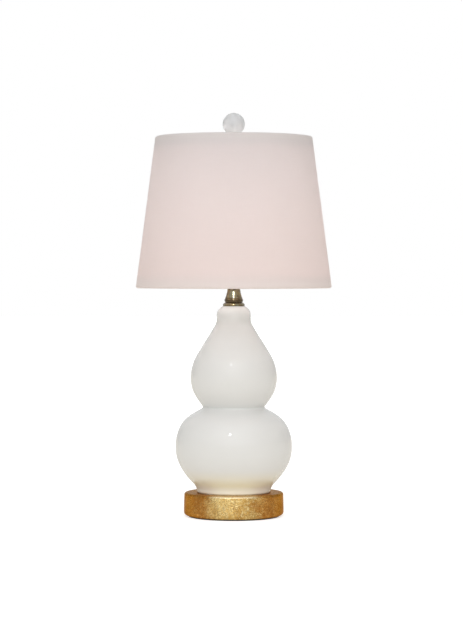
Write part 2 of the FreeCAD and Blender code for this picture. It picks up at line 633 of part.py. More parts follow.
# the cross is turned down to a round rotor with four lobes
sk = add_sketch(rotor, "rotor_round", "XZ_Plane")
outline(sk, [("rotor_rad", -1.0), ("rotor_rad + 2", -1.0), ("rotor_rad + 2", 8.0), ("rotor_rad", 8.0)])
groove = rotor.newObject("PartDesign::Groove", "rotor_round_cut")
groove.Profile = sk
groove.ReferenceAxis = (sk, ["V_Axis"])
groove.Angle = 360
before = rotor.Shape.Volume
rotor.Tip = groove
doc.recompute()
if not rotor.Shape.Volume < before - 1e-6:
    raise RuntimeError("the rotor isn't turned down")

shaft = turned("switch_shaft", [
    (0, 0), ("shaft_rad", 0), ("shaft_rad", "knob_x + 4.2 + 7.0"), ("shaft_rad - 0.3", "knob_x + 4.2 + 7.3"),
    (0, "knob_x + 4.2 + 7.3")],
    FreeCAD.Placement(V(-4.2, 0, val("switch_z")), ALONG_X))
shaft.setExpression("Placement.Base.z", bound("switch_z"))

knob = turned("switch_knob", [
    ("shaft_rad", 0), ("0.6*knob_rad", 0), ("0.6*knob_rad", 1.6), ("knob_rad - 0.6", 2.4),
    ("knob_rad", 3.2), ("knob_rad", "knob_long - 1.0", (1, 1.0)),
    ("knob_rad - 1.0", "knob_long"), (0, "knob_long"),
    (0, 7.6), ("shaft_rad", 7.6)],
    FreeCAD.Placement(V(val("knob_x"), 0, val("switch_z")), ALONG_X))
knob.setExpression("Placement.Base.x", bound("knob_x"))
knob.setExpression("Placement.Base.z", bound("switch_z"))
sk = add_sketch(knob, "knob_flute", "XY_Plane", 1.0)
circle(sk, "knob_rad + 0.25", 0, 0.75)
flute = pocket(knob, sk, "knob_flute_cut", 20.0, reverse=True)
polar(knob, flute, "knob_flutes", 16)

# ---------------------------------------------------------------------------
# Bulb
# ---------------------------------------------------------------------------
turned("bulb_contact", [
    (0, "bulb_low"), (2.6, "bulb_low", (1, 2.0)), (4.2, "bulb_low + 1.3"), (4.2, "bulb_low + 1.5"),
    (0, "bulb_low + 1.5")])
turned("bulb_insulator", [
    (0, "bulb_low + 1.55"), (5.0, "bulb_low + 1.55"), ("bulb_cap_rad - 3.6", "bulb_low + 3.6"),
    ("bulb_cap_rad - 3.6", "bulb_low + 4.2"), (0, "bulb_low + 4.2")])
wave_out, wave_in = [], []
for k in range(9):
    z = "bulb_low + 5.0 + %.4f" % (k * 1.8143)
    wave_out.append(("bulb_cap_rad - %s" % ("0.0" if k % 2 else "0.6"), z))
    wave_in.append(("bulb_cap_rad - %s" % ("0.5" if k % 2 else "1.1"), z))
turned("bulb_cap", [
    ("bulb_cap_rad - 3.5", "bulb_low + 3.2")] + wave_out + [
    ("bulb_cap_rad - 0.4", "bulb_low + 21.6"), ("bulb_cap_rad - 0.9", "bulb_low + 21.6")] +
    wave_in[::-1] + [("bulb_cap_rad - 3.5", "bulb_low + 3.8")])
# Frosted envelope, a hollow shell that stands in the cap.
turned("bulb_glass", [
    ("bulb_cap_rad - 1.2 - glass_wall", "bulb_low + 8.0"), ("bulb_cap_rad - 1.2", "bulb_low + 8.0"),
    ("bulb_cap_rad - 1.2", "bulb_low + 21.7"), ("bulb_cap_rad + 0.2", "bulb_low + 23.0", (-1, 100.0)),
    (17.2, "bulb_low + 42.0", (-1, 110.0)), (25.6, "bulb_low + 62.0", (1, 39.0)),
    ("bulb_rad", "bulb_top - bulb_rad", (1, "bulb_rad")), (0, "bulb_top"),
    (0, "bulb_top - glass_wall", (-1, "bulb_rad - glass_wall")),
    ("bulb_rad - glass_wall", "bulb_top - bulb_rad", (-1, 37.4)),
    ("25.6 - glass_wall", "bulb_low + 62.4", (1, 110.9)), ("17.2 - glass_wall", "bulb_low + 42.4", (1, 100.9)),
    ("bulb_cap_rad + 0.2 - glass_wall", "bulb_low + 23.4"), ("bulb_cap_rad - 1.2 - glass_wall", "bulb_low + 21.9")])

# ---------------------------------------------------------------------------
# Harp: one bent wire, the stud on its top and two ferrules at its feet
# ---------------------------------------------------------------------------
bow = new_body("harp_bow")
R = val("bow_bend")
side = val("bow_y") - val("leg_y")
turn = math.acos(1 - side / (2 * R))
mid_y, mid_z = val("leg_y") + side / 2, val("leg_straight") + R * math.sin(turn)
out_z = val("leg_straight") + 2 * R * math.sin(turn)
C = val("bow_corner")
top = val("bow_top")
sk = add_sketch(bow, "bow_path", "YZ_Plane")
right = [(val("leg_y"), val("leg_low")), (val("leg_y"), val("leg_straight")), (mid_y, mid_z), (val("bow_y"), out_z),
         (val("bow_y"), top - C), (val("bow_y") - C, top)]
left = [(-x, y) for x, y in right[::-1]]
made, rules = wire_path(sk, [V(x, y, 0) for x, y in right + left], [0, -R, R, 0, C, 0, C, 0, R, -R, 0])
rules.point(made[0][0], 1, "leg_y", "leg_low")
rules.plain("Vertical", made[0][0])
rules.sized("DistanceY", (-1, 1, made[0][0], 2), "leg_straight")
for k, e in ((1, "bow_bend"), (2, "bow_bend"), (4, "bow_corner"), (6, "bow_corner"), (8, "bow_bend"), (9, "bow_bend")):
    rules.sized("Radius", (made[k][0],), e)
rules.plain("Vertical", made[3][0])
rules.sized("DistanceX", (-1, 1, made[3][0], 1), "bow_y")
rules.plain("Horizontal", made[5][0])
rules.sized("DistanceY", (-1, 1, made[5][0], 1), "bow_top")
rules.plain("Vertical", made[7][0])
rules.sized("DistanceX", (-1, 1, made[7][0], 1), "0 - bow_y")
rules.plain("Vertical", made[10][0])
rules.point(made[10][0], 2, "0 - leg_y", "leg_low")
rules.give()
sk2 = add_sketch(bow, "bow_section", "XY_Plane", val("leg_low"), "leg_low")
circle(sk2, 0, "leg_y", "wire_rad")
pipe = bow.newObject("PartDesign::AdditivePipe", "bow_wire")
pipe.Profile = sk2
pipe.Spine = sk
bow.Tip = pipe

stud = turned("harp_stud", [
    (0, "seat_z - 5.6"), (3.6, "seat_z - 5.6"), (4.4, "seat_z - 4.8"), (4.4, "seat_z - 1.3"),
    ("shoulder_rad", "seat_z - 1.3"), ("shoulder_rad", "seat_z - 0.3"), ("shoulder_rad - 0.3", "seat_z"),
    ("seat_neck_rad", "seat_z"), ("seat_neck_rad", "seat_z + 1.2"),
    ("stud_rad", "seat_z + 1.2"), ("stud_rad", "stud_top - 0.8"), ("stud_rad - 0.8", "stud_top"), (0, "stud_top")])
sk = add_sketch(stud, "stud_cross", "XZ_Plane")
circle(sk, 0, "bow_top", "wire_rad + 0.03")
pocket(stud, sk, "stud_cross_cut", 30.0, middle=True)

for name, s in (("harp_ferrule_front", -1), ("harp_ferrule_rear", 1)):
    f = turned(name, [
        ("ferrule_bore", "ferrule_low"), ("ferrule_rad", "ferrule_low"),
        ("ferrule_rad", "ferrule_low + ferrule_long - 2.4"), ("ferrule_rad - 0.6", "ferrule_low + ferrule_long"),
        ("ferrule_bore", "ferrule_low + ferrule_long")],
        FreeCAD.Placement(V(0, s * val("ferrule_y"), 0), FreeCAD.Rotation()))
    f.setExpression("Placement.Base.y", bound("ferrule_y" if s > 0 else "0 - ferrule_y"))

# ---------------------------------------------------------------------------
# Shade frame: hub ring with three arms, and the two wire rings
# ---------------------------------------------------------------------------
spider = new_body("spider_fitter")
sk = add_sketch(spider, "hub_ring", "XY_Plane", val("seat_z"), "seat_z")
circle(sk, 0, 0, "ring_rad")
circle(sk, 0, 0, "ring_hole")
pad(spider, sk, "hub_pad", "ring_thick")
doc.recompute()
sk = add_sketch(spider, "arm_path", "YZ_Plane")
z0, z1 = val("seat_z") + 0.75, val("top_ring_z") - 0.17
rise, run, bend = z1 - z0, 70.0, 25.0
t = math.radians(9.6)
for _ in range(40):
    straight = (run - 2 * bend * math.sin(t)) / math.cos(t)
    t += (rise - (2 * bend * (1 - math.cos(t)) + straight * math.sin(t))) / run * 0.9
p = [(10.2, z0), (22.0, z0), (22.0 + bend * math.sin(t), z0 + bend * (1 - math.cos(t)))]
p.append((92.0 - bend * math.sin(t), z1 - bend * (1 - math.cos(t))))
p += [(92.0, z1), (98.2, z1)]
made, rules = wire_path(sk, [V(x, y, 0) for x, y in p], [0, bend, 0, -bend, 0])
rules.point(made[0][0], 1, 10.2, "seat_z + 0.5*ring_thick")
rules.plain("Horizontal", made[0][0])
rules.sized("DistanceX", (-1, 1, made[0][0], 2), 22.0)
rules.sized("Radius", (made[1][0],), 25.0)
rules.sized("Radius", (made[3][0],), 25.0)
rules.plain("Horizontal", made[4][0])
rules.sized("DistanceX", (-1, 1, made[4][0], 1), 92.0)
rules.sized("DistanceX", (-1, 1, made[4][0], 2), "top_ring_rad - ring_wire - 0.05")
rules.sized("DistanceY", (-1, 1, made[4][0], 2), "top_ring_z - 0.17")
rules.give()
sk2 = add_sketch(spider, "arm_section", "XZ_Plane", -10.2)
circle(sk2, 0, "seat_z + 0.5*ring_thick", "arm_rad")
arm = spider.newObject("PartDesign::AdditivePipe", "arm_wire")
arm.Profile = sk2
arm.Spine = sk
spider.Tip = arm
doc.recompute()
polar(spider, arm, "arms", 3)

for name, rad, z in (("top_ring", "top_ring_rad", "top_ring_z"), ("bottom_ring", "low_ring_rad", "low_ring_z")):
    ring = new_body(name)
    sk = add_sketch(ring, name + "_section", "XZ_Plane")
    circle(sk, rad, z, "ring_wire")
    turn_ring = ring.newObject("PartDesign::Revolution", name + "_turned")
    turn_ring.Profile = sk
    turn_ring.ReferenceAxis = (sk, ["V_Axis"])
    turn_ring.Angle = 360
    ring.Tip = turn_ring

# ---------------------------------------------------------------------------
# Shade skin: a stiff liner, and the cloth laminated on it with rolled hems
# ---------------------------------------------------------------------------
zt, zb = "shade_top - roll", "shade_low + roll"
skin = "cloth + skin_gap"
turned("shade_liner", [
    ("shade_rb - cloth - skin_gap - sheet_thick", zb), ("shade_rb - cloth - skin_gap", zb),
    ("shade_rt - cloth - skin_gap", zt), ("shade_rt - cloth - skin_gap - sheet_thick", zt)])

turned("shade_cover", [
    ("shade_rb", zb), ("shade_rt", zt, (1, "roll")), ("shade_rt - roll", "shade_top", (1, "roll")),
    ("shade_rt - 2*roll", zt), ("shade_rt - 2*roll", zt + " - 1.6"),
    ("shade_rt - 1.35", zt + " - 6.2"), ("shade_rt - 0.65", zt + " - 11.8"),
    ("shade_rt - 0.65 + hem", zt + " - 11.8"), ("shade_rt - 1.35 + hem", zt + " - 5.9"),
    ("shade_rt - 2*roll + cloth", zt + " - 1.4"), ("shade_rt - 2*roll + cloth", zt, (-1, "roll - cloth")),
    ("shade_rt - roll", "shade_top - cloth", (-1, "roll - cloth")), ("shade_rt - cloth", zt),
    ("shade_rb - cloth", zb, (-1, "roll - cloth")), ("shade_rb - roll", "shade_low + cloth", (-1, "roll - cloth")),
    ("shade_rb - 2*roll + cloth", zb), ("shade_rb - 2*roll + cloth", zb + " + 1.4"),
    ("shade_rb - 2.9 + hem", zb + " + 5.9"), ("shade_rb - 3.65 + hem", zb + " + 11.6"),
    ("shade_rb - 3.65", zb + " + 11.6"), ("shade_rb - 2.9", zb + " + 6.1"),
    ("shade_rb - 2*roll", zb + " + 1.6"), ("shade_rb - 2*roll", zb, (1, "roll")),
    ("shade_rb - roll", "shade_low", (1, "roll"))])
# Three notches in the upper hem, where the arms of the fitter reach the ring.
cover = found_body("shade_cover")
sk = add_sketch(cover, "hem_notch", "XY_Plane", val("top_ring_z - 1.87"), "top_ring_z - 1.87")
outline(sk, [("0 - arm_rad - 0.2", "shade_rt - 2*roll - 0.34"), ("arm_rad + 0.2", "shade_rt - 2*roll - 0.34"), ("arm_rad + 0.2", "top_ring_rad - ring_wire + 0.05"),
             ("0 - arm_rad - 0.2", "top_ring_rad - ring_wire + 0.05")])
notch = pocket(cover, sk, "hem_notch_cut", 3.4, reverse=True)
polar(cover, notch, "hem_notches", 3)

# ---------------------------------------------------------------------------
# Finial: threaded insert, turned brass base and the ball on its peg
# ---------------------------------------------------------------------------
turned("finial_insert", [
    ("stud_rad + thread_gap", "seat_z + ring_thick + 0.2"), ("insert_rad", "seat_z + ring_thick + 0.2"),
    ("insert_rad", "insert_top"), ("stud_rad + thread_gap", "insert_top")])
turned("finial_base", [
    ("insert_rad + thread_gap", "seat_z + ring_thick + 0.1"), ("finial_foot_rad - 0.4", "seat_z + ring_thick + 0.1"),
    ("finial_foot_rad", "seat_z + ring_thick + 0.5"), ("finial_foot_rad", "seat_z + ring_thick + 1.9", (1, 0.7)),
    ("finial_foot_rad - 0.7", "seat_z + ring_thick + 2.6"), ("finial_foot_rad - 1.5", "seat_z + ring_thick + 2.8", (-1, 3.4)),
    (5.7, "seat_z + ring_thick + 5.6", (-1, 12.0)), ("cup_rad", "ball_z - 12.9"), ("cup_rad", "ball_z - 12.4"),
    ("cup_rad - 0.3", "ball_z - 12.18", (-1, 14.5)), ("peg_rad", "ball_z - 14.35"),
    ("peg_rad", "peg_top"), (0, "peg_top"), (0, "insert_top + 0.2"), ("insert_rad + thread_gap", "insert_top + 0.2")])
seat = math.sqrt(DIMS["ball_rad"] ** 2 - 2.55 ** 2)
turned("finial_ball", [
    (2.55, "ball_z - %.4f" % seat, (1, "ball_rad")), ("ball_rad", "ball_z", (1, "ball_rad")),
    (0, "ball_z + ball_rad"), (0, "peg_top + 0.1"), (2.55, "peg_top + 0.1")])

doc.recompute()

# ---------------------------------------------------------------------------
# Check and write
# ---------------------------------------------------------------------------
NODES = [
    "base_felt", "base_plinth", "cord_bushing", "lamp_pipe", "pipe_washer", "lock_washer", "pipe_nut",
    "foot_gasket", "foot_bushing", "gourd_body", "check_ring", "brass_neck", "harp_saddle",
    "socket_cap", "cap_set_screw", "socket_shell", "socket_liner", "socket_base_lower", "socket_base_upper",
    "terminal_screws", "screw_shell", "centre_contact", "switch_rotor", "switch_shaft", "switch_knob",
    "bulb_contact", "bulb_insulator", "bulb_cap", "bulb_glass", "harp_bow", "harp_stud",
    "harp_ferrule_front", "harp_ferrule_rear", "spider_fitter", "top_ring", "bottom_ring",
    "shade_liner", "shade_cover", "finial_insert", "finial_base", "finial_ball",
]
problems = []
for obj in doc.Objects:
    if "Invalid" in obj.State or "Error" in obj.State:
        problems.append("%s is %s" % (obj.Name, obj.State))
found = {o.Label: o for o in doc.Objects}
for name in NODES:
    shape = found[name].Shape
    if shape.isNull() or not shape.isValid() or not shape.Solids:
        problems.append(name + " has no valid solid")
    else:
        box = shape.BoundBox
        print("%-20s solids %d  volume %9.1f  z %.2f to %.2f  x %.2f to %.2f  y %.2f to %.2f" % (
            name, len(shape.Solids), shape.Volume, box.ZMin, box.ZMax, box.XMin, box.XMax, box.YMin, box.YMax))
if problems:
    raise SystemExit("\n".join(problems))

os.makedirs("parts", exist_ok=True)
for old in os.listdir("parts"):
    if old.endswith(".step") and old[:-5] not in NODES:
        os.remove(os.path.join("parts", old))
for name in NODES:
    found[name].Shape.exportStep("parts/%s.step" % name)
print("wrote", len(NODES), "nodes")
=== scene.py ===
import math

import bpy
import numpy as np
from mathutils import Matrix, Vector


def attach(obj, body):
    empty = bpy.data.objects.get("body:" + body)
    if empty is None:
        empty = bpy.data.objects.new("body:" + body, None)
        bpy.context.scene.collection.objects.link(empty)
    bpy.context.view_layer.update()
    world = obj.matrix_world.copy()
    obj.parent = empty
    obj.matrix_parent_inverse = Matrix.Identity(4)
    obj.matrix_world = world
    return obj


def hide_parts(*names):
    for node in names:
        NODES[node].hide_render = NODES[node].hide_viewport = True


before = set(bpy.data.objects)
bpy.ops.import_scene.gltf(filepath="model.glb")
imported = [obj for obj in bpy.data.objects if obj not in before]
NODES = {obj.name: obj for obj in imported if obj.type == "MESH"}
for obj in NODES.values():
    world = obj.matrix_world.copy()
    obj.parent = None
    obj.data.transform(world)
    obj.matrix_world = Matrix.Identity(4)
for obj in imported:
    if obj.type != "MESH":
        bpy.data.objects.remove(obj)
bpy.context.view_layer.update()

# Double gourd lamp, metres, +Z up, the viewer at -Y. The CAD frame stays where it
# is; the turned porcelain, plinth, brass, ball and shade cloth get finer pieces.
TAU = 2 * math.pi
BULB = 9.0
MM = 0.001


# ---------------------------------------------------------------------------
# Noise on arrays of points, always the same from run to run
# ---------------------------------------------------------------------------
def perlin(p, seed=1):
    rng = np.random.RandomState(seed)
    perm = np.concatenate([rng.permutation(256)] * 2)
    g = rng.normal(size=(256, 3))
    g /= np.linalg.norm(g, axis=1)[:, None]
    i = np.floor(p).astype(np.int64)
    f = p - i
    u = f * f * f * (f * (f * 6 - 15) + 10)
    total = np.zeros(len(p))
    for dx in (0, 1):
        for dy in (0, 1):
            for dz in (0, 1):
                h = perm[(perm[(perm[(i[:, 0] + dx) & 255] + i[:, 1] + dy) & 255] + i[:, 2] + dz) & 255]
                d = f - np.array([dx, dy, dz])
                w = (u[:, 0] if dx else 1 - u[:, 0]) * (u[:, 1] if dy else 1 - u[:, 1]) * (u[:, 2] if dz else 1 - u[:, 2])
                total += w * (g[h] * d).sum(1)
    return total * 1.6


def smooth(e0, e1, x):
    t = np.clip((x - e0) / (e1 - e0), 0, 1)
    return t * t * (3 - 2 * t)


# ---------------------------------------------------------------------------
# Turned pieces
# ---------------------------------------------------------------------------
def along(points, step, closed=True, turn=6.0):
    """Points spaced along lines and arcs; (r, z), (r, z, arc radius) or (r, z, arc radius, own step).
    A positive arc has its centre on the left."""
    out = []
    count = len(points) if closed else len(points) - 1
    for k in range(count):
        a, b = points[k], points[(k + 1) % len(points)]
        ax, ay, bx, by = a[0], a[1], b[0], b[1]
        bend = a[2] if len(a) > 2 else 0
        own = a[3] if len(a) > 3 else step
        c = math.hypot(bx - ax, by - ay)
        if bend:
            half = math.asin(min(1.0, c / 2 / abs(bend)))
            side = 1 if bend > 0 else -1
            rise = math.sqrt(max(bend * bend - c * c / 4, 0)) * side
            cx, cy = (ax + bx) / 2 - (by - ay) / c * rise, (ay + by) / 2 + (bx - ax) / c * rise
            t0 = math.atan2(ay - cy, ax - cx)
            sweep = 2 * half * side
            n = max(1, math.ceil(abs(bend) * 2 * half / own), math.ceil(2 * half / math.radians(turn)))
            out += [(cx + abs(bend) * math.cos(t0 + sweep * i / n), cy + abs(bend) * math.sin(t0 + sweep * i / n))
                    for i in range(n)]
        else:
            n = max(1, math.ceil(c / own))
            out += [(ax + (bx - ax) * i / n, ay + (by - ay) * i / n) for i in range(n)]
    if not closed:
        out.append((points[-1][0], points[-1][1]))
    return out


def ring_angles(count, start=0.0):
    return start + np.arange(count) * TAU / count


def turned(name, profile, angles, closed=True, shift=None, at=(0, 0, 0), turn_to=None):
    """Mesh of revolution about Z from (radius, height) in mm, pushed along its own
    normal by shift(r, z, angle) in mm. Open profiles may end on the axis."""
    p = np.array(profile, float)
    n, m = len(p), len(angles)
    nxt = np.roll(p, -1, 0) if closed else np.vstack([p[1:], p[-1:]])
    prv = np.roll(p, 1, 0) if closed else np.vstack([p[:1], p[:-1]])
    tan = nxt - prv
    tan /= np.maximum(np.linalg.norm(tan, axis=1), 1e-9)[:, None]
    loop = p if closed else np.vstack([p, [[0, p[-1, 1]], [0, p[0, 1]]]])
    area = 0.5 * float((loop[:, 0] * np.roll(loop[:, 1], -1) - np.roll(loop[:, 0], -1) * loop[:, 1]).sum())
    out = np.stack([tan[:, 1], -tan[:, 0]], 1) * (1 if area > 0 else -1)
    r = np.repeat(p[:, 0][:, None], m, 1)
    z = np.repeat(p[:, 1][:, None], m, 1)
    a = np.repeat(np.asarray(angles)[None, :], n, 0)
    if shift is not None:
        d = shift(r.ravel(), z.ravel(), a.ravel()).reshape(n, m)
        on_axis = p[:, 0] < 1e-6
        d[on_axis] = 0
        r = r + out[:, 0][:, None] * d
        z = z + out[:, 1][:, None] * d
    co = np.stack([r * np.cos(a), r * np.sin(a), z], -1).reshape(-1, 3) * MM
    faces = []
    rows = range(n if closed else n - 1)
    for i in rows:
        i2 = (i + 1) % n
        lone, lone2 = p[i, 0] < 1e-6, p[i2, 0] < 1e-6
        for j in range(m):
            j2 = (j + 1) % m
            if lone and lone2:
                continue
            if lone:
                f = (i * m, i2 * m + j, i2 * m + j2)
            elif lone2:
                f = (i * m + j, i2 * m, i * m + j2)
            else:
                f = (i * m + j, i2 * m + j, i2 * m + j2, i * m + j2)
            faces.append(f if area < 0 else f[::-1])
    used = sorted({v for f in faces for v in f})
    if len(used) != len(co):
        new = {v: k for k, v in enumerate(used)}
        co = co[used]
        faces = [tuple(new[v] for v in f) for f in faces]
    return solid(name, co, faces, at, turn_to)


def solid(name, co, faces, at=(0, 0, 0), turn_to=None, sharp=38.0):
    me = bpy.data.meshes.new(name)
    me.from_pydata([tuple(c) for c in co], [], faces)
    if turn_to is not None:
        me.transform(turn_to.to_4x4())
    if any(at):
        me.transform(Matrix.Translation(Vector(at) * MM))
    me.validate()
    me.shade_smooth()
    me.set_sharp_from_angle(angle=math.radians(sharp))
    ob = bpy.data.objects.new(name, me)
    bpy.context.scene.collection.objects.link(ob)
    return ob


def dress(ob, material):
    ob.data.materials.clear()
    ob.data.materials.append(material)
    return ob


# ---------------------------------------------------------------------------
# Materials
# ---------------------------------------------------------------------------
class Make:
    """One node material, with short names for the nodes it is made of."""

    def __init__(self, name):
        self.mat = bpy.data.materials.new(name)
        self.mat.use_nodes = True
        self.t = self.mat.node_tree
        self.t.nodes.clear()
        self.out = self.t.nodes.new("ShaderNodeOutputMaterial")
        self.bsdf = self.t.nodes.new("ShaderNodeBsdfPrincipled")
        self.t.links.new(self.bsdf.outputs[0], self.out.inputs["Surface"])
        self.place = self.t.nodes.new("ShaderNodeTexCoord").outputs["Object"]

    def set(self, **values):
        for key, v in values.items():
            socket = self.bsdf.inputs[key.replace("_", " ").title().replace("Ior", "IOR")]
            if isinstance(v, bpy.types.NodeSocket):
                self.t.links.new(v, socket)
            elif hasattr(socket.default_value, "__len__") and len(socket.default_value) == 4 and len(v) == 3:
                socket.default_value = (*v, 1)
            else:
                socket.default_value = v
        return self

    def put(self, socket, v):
        if isinstance(v, bpy.types.NodeSocket):
            self.t.links.new(v, socket)
        elif hasattr(socket.default_value, "__len__") and len(socket.default_value) == 4 and len(v) == 3:
            socket.default_value = (*v, 1)
        else:
            socket.default_value = v

    def math(self, op, a, b=0.0, c=0.0, clamp=False):
        n = self.t.nodes.new("ShaderNodeMath")
        n.operation, n.use_clamp = op, clamp
        for s, v in zip(n.inputs, (a, b, c)):
            self.put(s, v)
        return n.outputs[0]

    def xyz(self, v=None):
        n = self.t.nodes.new("ShaderNodeSeparateXYZ")
        self.put(n.inputs[0], v or self.place)
        return n.outputs

    def vec(self, x, y, z):
        n = self.t.nodes.new("ShaderNodeCombineXYZ")
        for s, v in zip(n.inputs, (x, y, z)):
            self.put(s, v)
        return n.outputs[0]

    def scaled(self, s, v=None):
        n = self.t.nodes.new("ShaderNodeVectorMath")
        n.operation = "MULTIPLY"
        self.put(n.inputs[0], v or self.place)
        n.inputs[1].default_value = s if hasattr(s, "__len__") else (s, s, s)
        return n.outputs[0]

    def noise(self, scale, detail=3.0, rough=0.5, at=None, warp=0.0, lac=2.0):
        n = self.t.nodes.new("ShaderNodeTexNoise")
        self.put(n.inputs["Vector"], at or self.place)
        n.inputs["Scale"].default_value = scale
        n.inputs["Detail"].default_value = detail
        n.inputs["Roughness"].default_value = rough
        n.inputs["Lacunarity"].default_value = lac
        n.inputs["Distortion"].default_value = warp
        return n.outputs["Fac"]

    def cells(self, scale, kind="F1", feature_out="Distance", at=None, random=1.0):
        n = self.t.nodes.new("ShaderNodeTexVoronoi")
        n.feature = kind
        self.put(n.inputs["Vector"], at or self.place)
        n.inputs["Scale"].default_value = scale
        n.inputs["Randomness"].default_value = random
        return n.outputs[feature_out]

    def ramp(self, fac, stops, smooth_steps=False):
        n = self.t.nodes.new("ShaderNodeValToRGB")
        if smooth_steps:
            n.color_ramp.interpolation = "EASE"
        self.put(n.inputs[0], fac)
        e = n.color_ramp.elements
        while len(e) < len(stops):
            e.new(0.5)
        for k, (pos, col) in enumerate(stops):
            e[k].position = pos
            e[k].color = (*col, 1) if hasattr(col, "__len__") else (col, col, col, 1)
        return n.outputs[0]

    def span(self, v, lo, hi, to_lo=0.0, to_hi=1.0, kind="SMOOTHSTEP"):
        n = self.t.nodes.new("ShaderNodeMapRange")
        n.interpolation_type = kind
        for s, x in zip(n.inputs, (v, lo, hi, to_lo, to_hi)):
            self.put(s, x)
        return n.outputs[0]

    def mix(self, fac, a, b, kind="MIX"):
        n = self.t.nodes.new("ShaderNodeMix")
        n.data_type, n.blend_type = "RGBA", kind
        self.put(n.inputs[0], fac)
        self.put(n.inputs[6], a)
        self.put(n.inputs[7], b)
        return n.outputs[2]

    def bump(self, height, depth, strength=1.0, normal=None):
        n = self.t.nodes.new("ShaderNodeBump")
        n.inputs["Strength"].default_value = strength
        n.inputs["Distance"].default_value = depth
        self.put(n.inputs["Height"], height)
        if normal is not None:
            self.t.links.new(normal, n.inputs["Normal"])
        return n.outputs[0]

    def shader(self, kind, **values):
        n = self.t.nodes.new(kind)
        for key, v in values.items():
            self.put(n.inputs[key], v)
        return n.outputs[0]

    def surface(self, s):
        self.t.links.new(s, self.out.inputs["Surface"])
        return self

    def join(self, fac, a, b):
        n = self.t.nodes.new("ShaderNodeMixShader")
        self.put(n.inputs[0], fac)
        self.t.links.new(a, n.inputs[1])
        self.t.links.new(b, n.inputs[2])
        return n.outputs[0]


def porcelain():
    m = Make("porcelain")
    x, y, z = m.xyz()
    cloudy = m.noise(9.0, 3, 0.5)
    tone = m.ramp(cloudy, [(0.25, (0.765, 0.765, 0.758)), (0.55, (0.780, 0.780, 0.775)), (0.8, (0.788, 0.786, 0.778))])
    # glaze pools in the waist
    waist = m.math("MULTIPLY", m.span(z, 0.1385, 0.1425), m.span(z, 0.1425, 0.1500, 1.0, 0.0))
    tone = m.mix(m.math("MULTIPLY", waist, 0.5), tone, (0.74, 0.76, 0.75))
    # painted reflection: a gold tint on the underside above the foot stands in for light thrown up off the gilded
    # plinth
    foot = m.span(z, 0.0360, 0.0680, 1.0, 0.0)
    painted_gold_bounce = m.math("MULTIPLY", foot, m.span(z, 0.0360, 0.0440, 0.25, 1.0))
    tone = m.mix(m.math("MULTIPLY", painted_gold_bounce, 0.70), tone, (0.960, 0.850, 0.560))
    # painted light: the flare of the foot is lightened towards cream
    tone = m.mix(m.span(z, 0.0340, 0.0470, 0.9, 0.0), tone, (0.985, 0.940, 0.850))
    # rare pin specks in the glaze
    speck = m.math("LESS_THAN", m.cells(140.0), 0.045)
    tone = m.mix(m.math("MULTIPLY", speck, 0.20), tone, (0.55, 0.50, 0.42))
    skin = m.noise(55.0, 2, 0.5)
    peel = m.noise(420.0, 2, 0.6)
    rings = m.noise(1.0, 2, 0.6, at=m.vec(m.math("MULTIPLY", x, 6.0), m.math("MULTIPLY", y, 6.0), m.math("MULTIPLY", z, 170.0)))
    h = m.math("ADD", m.math("MULTIPLY", skin, 0.8), m.math("ADD", m.math("MULTIPLY", peel, 0.06), m.math("MULTIPLY", rings, 0.22)))
    m.set(base_color=tone, roughness=m.span(m.noise(60.0, 3, 0.6), 0.3, 0.7, 0.50, 0.62), coat_weight=1.0, coat_roughness=0.03,
          normal=m.bump(h, 0.00022, 0.45), specular_ior_level=0.08)
    m.put(m.bsdf.inputs["Coat Normal"], m.bump(h, 0.00010, 0.15))
    m.bsdf.inputs["Coat IOR"].default_value = 1.5
    return m.mat


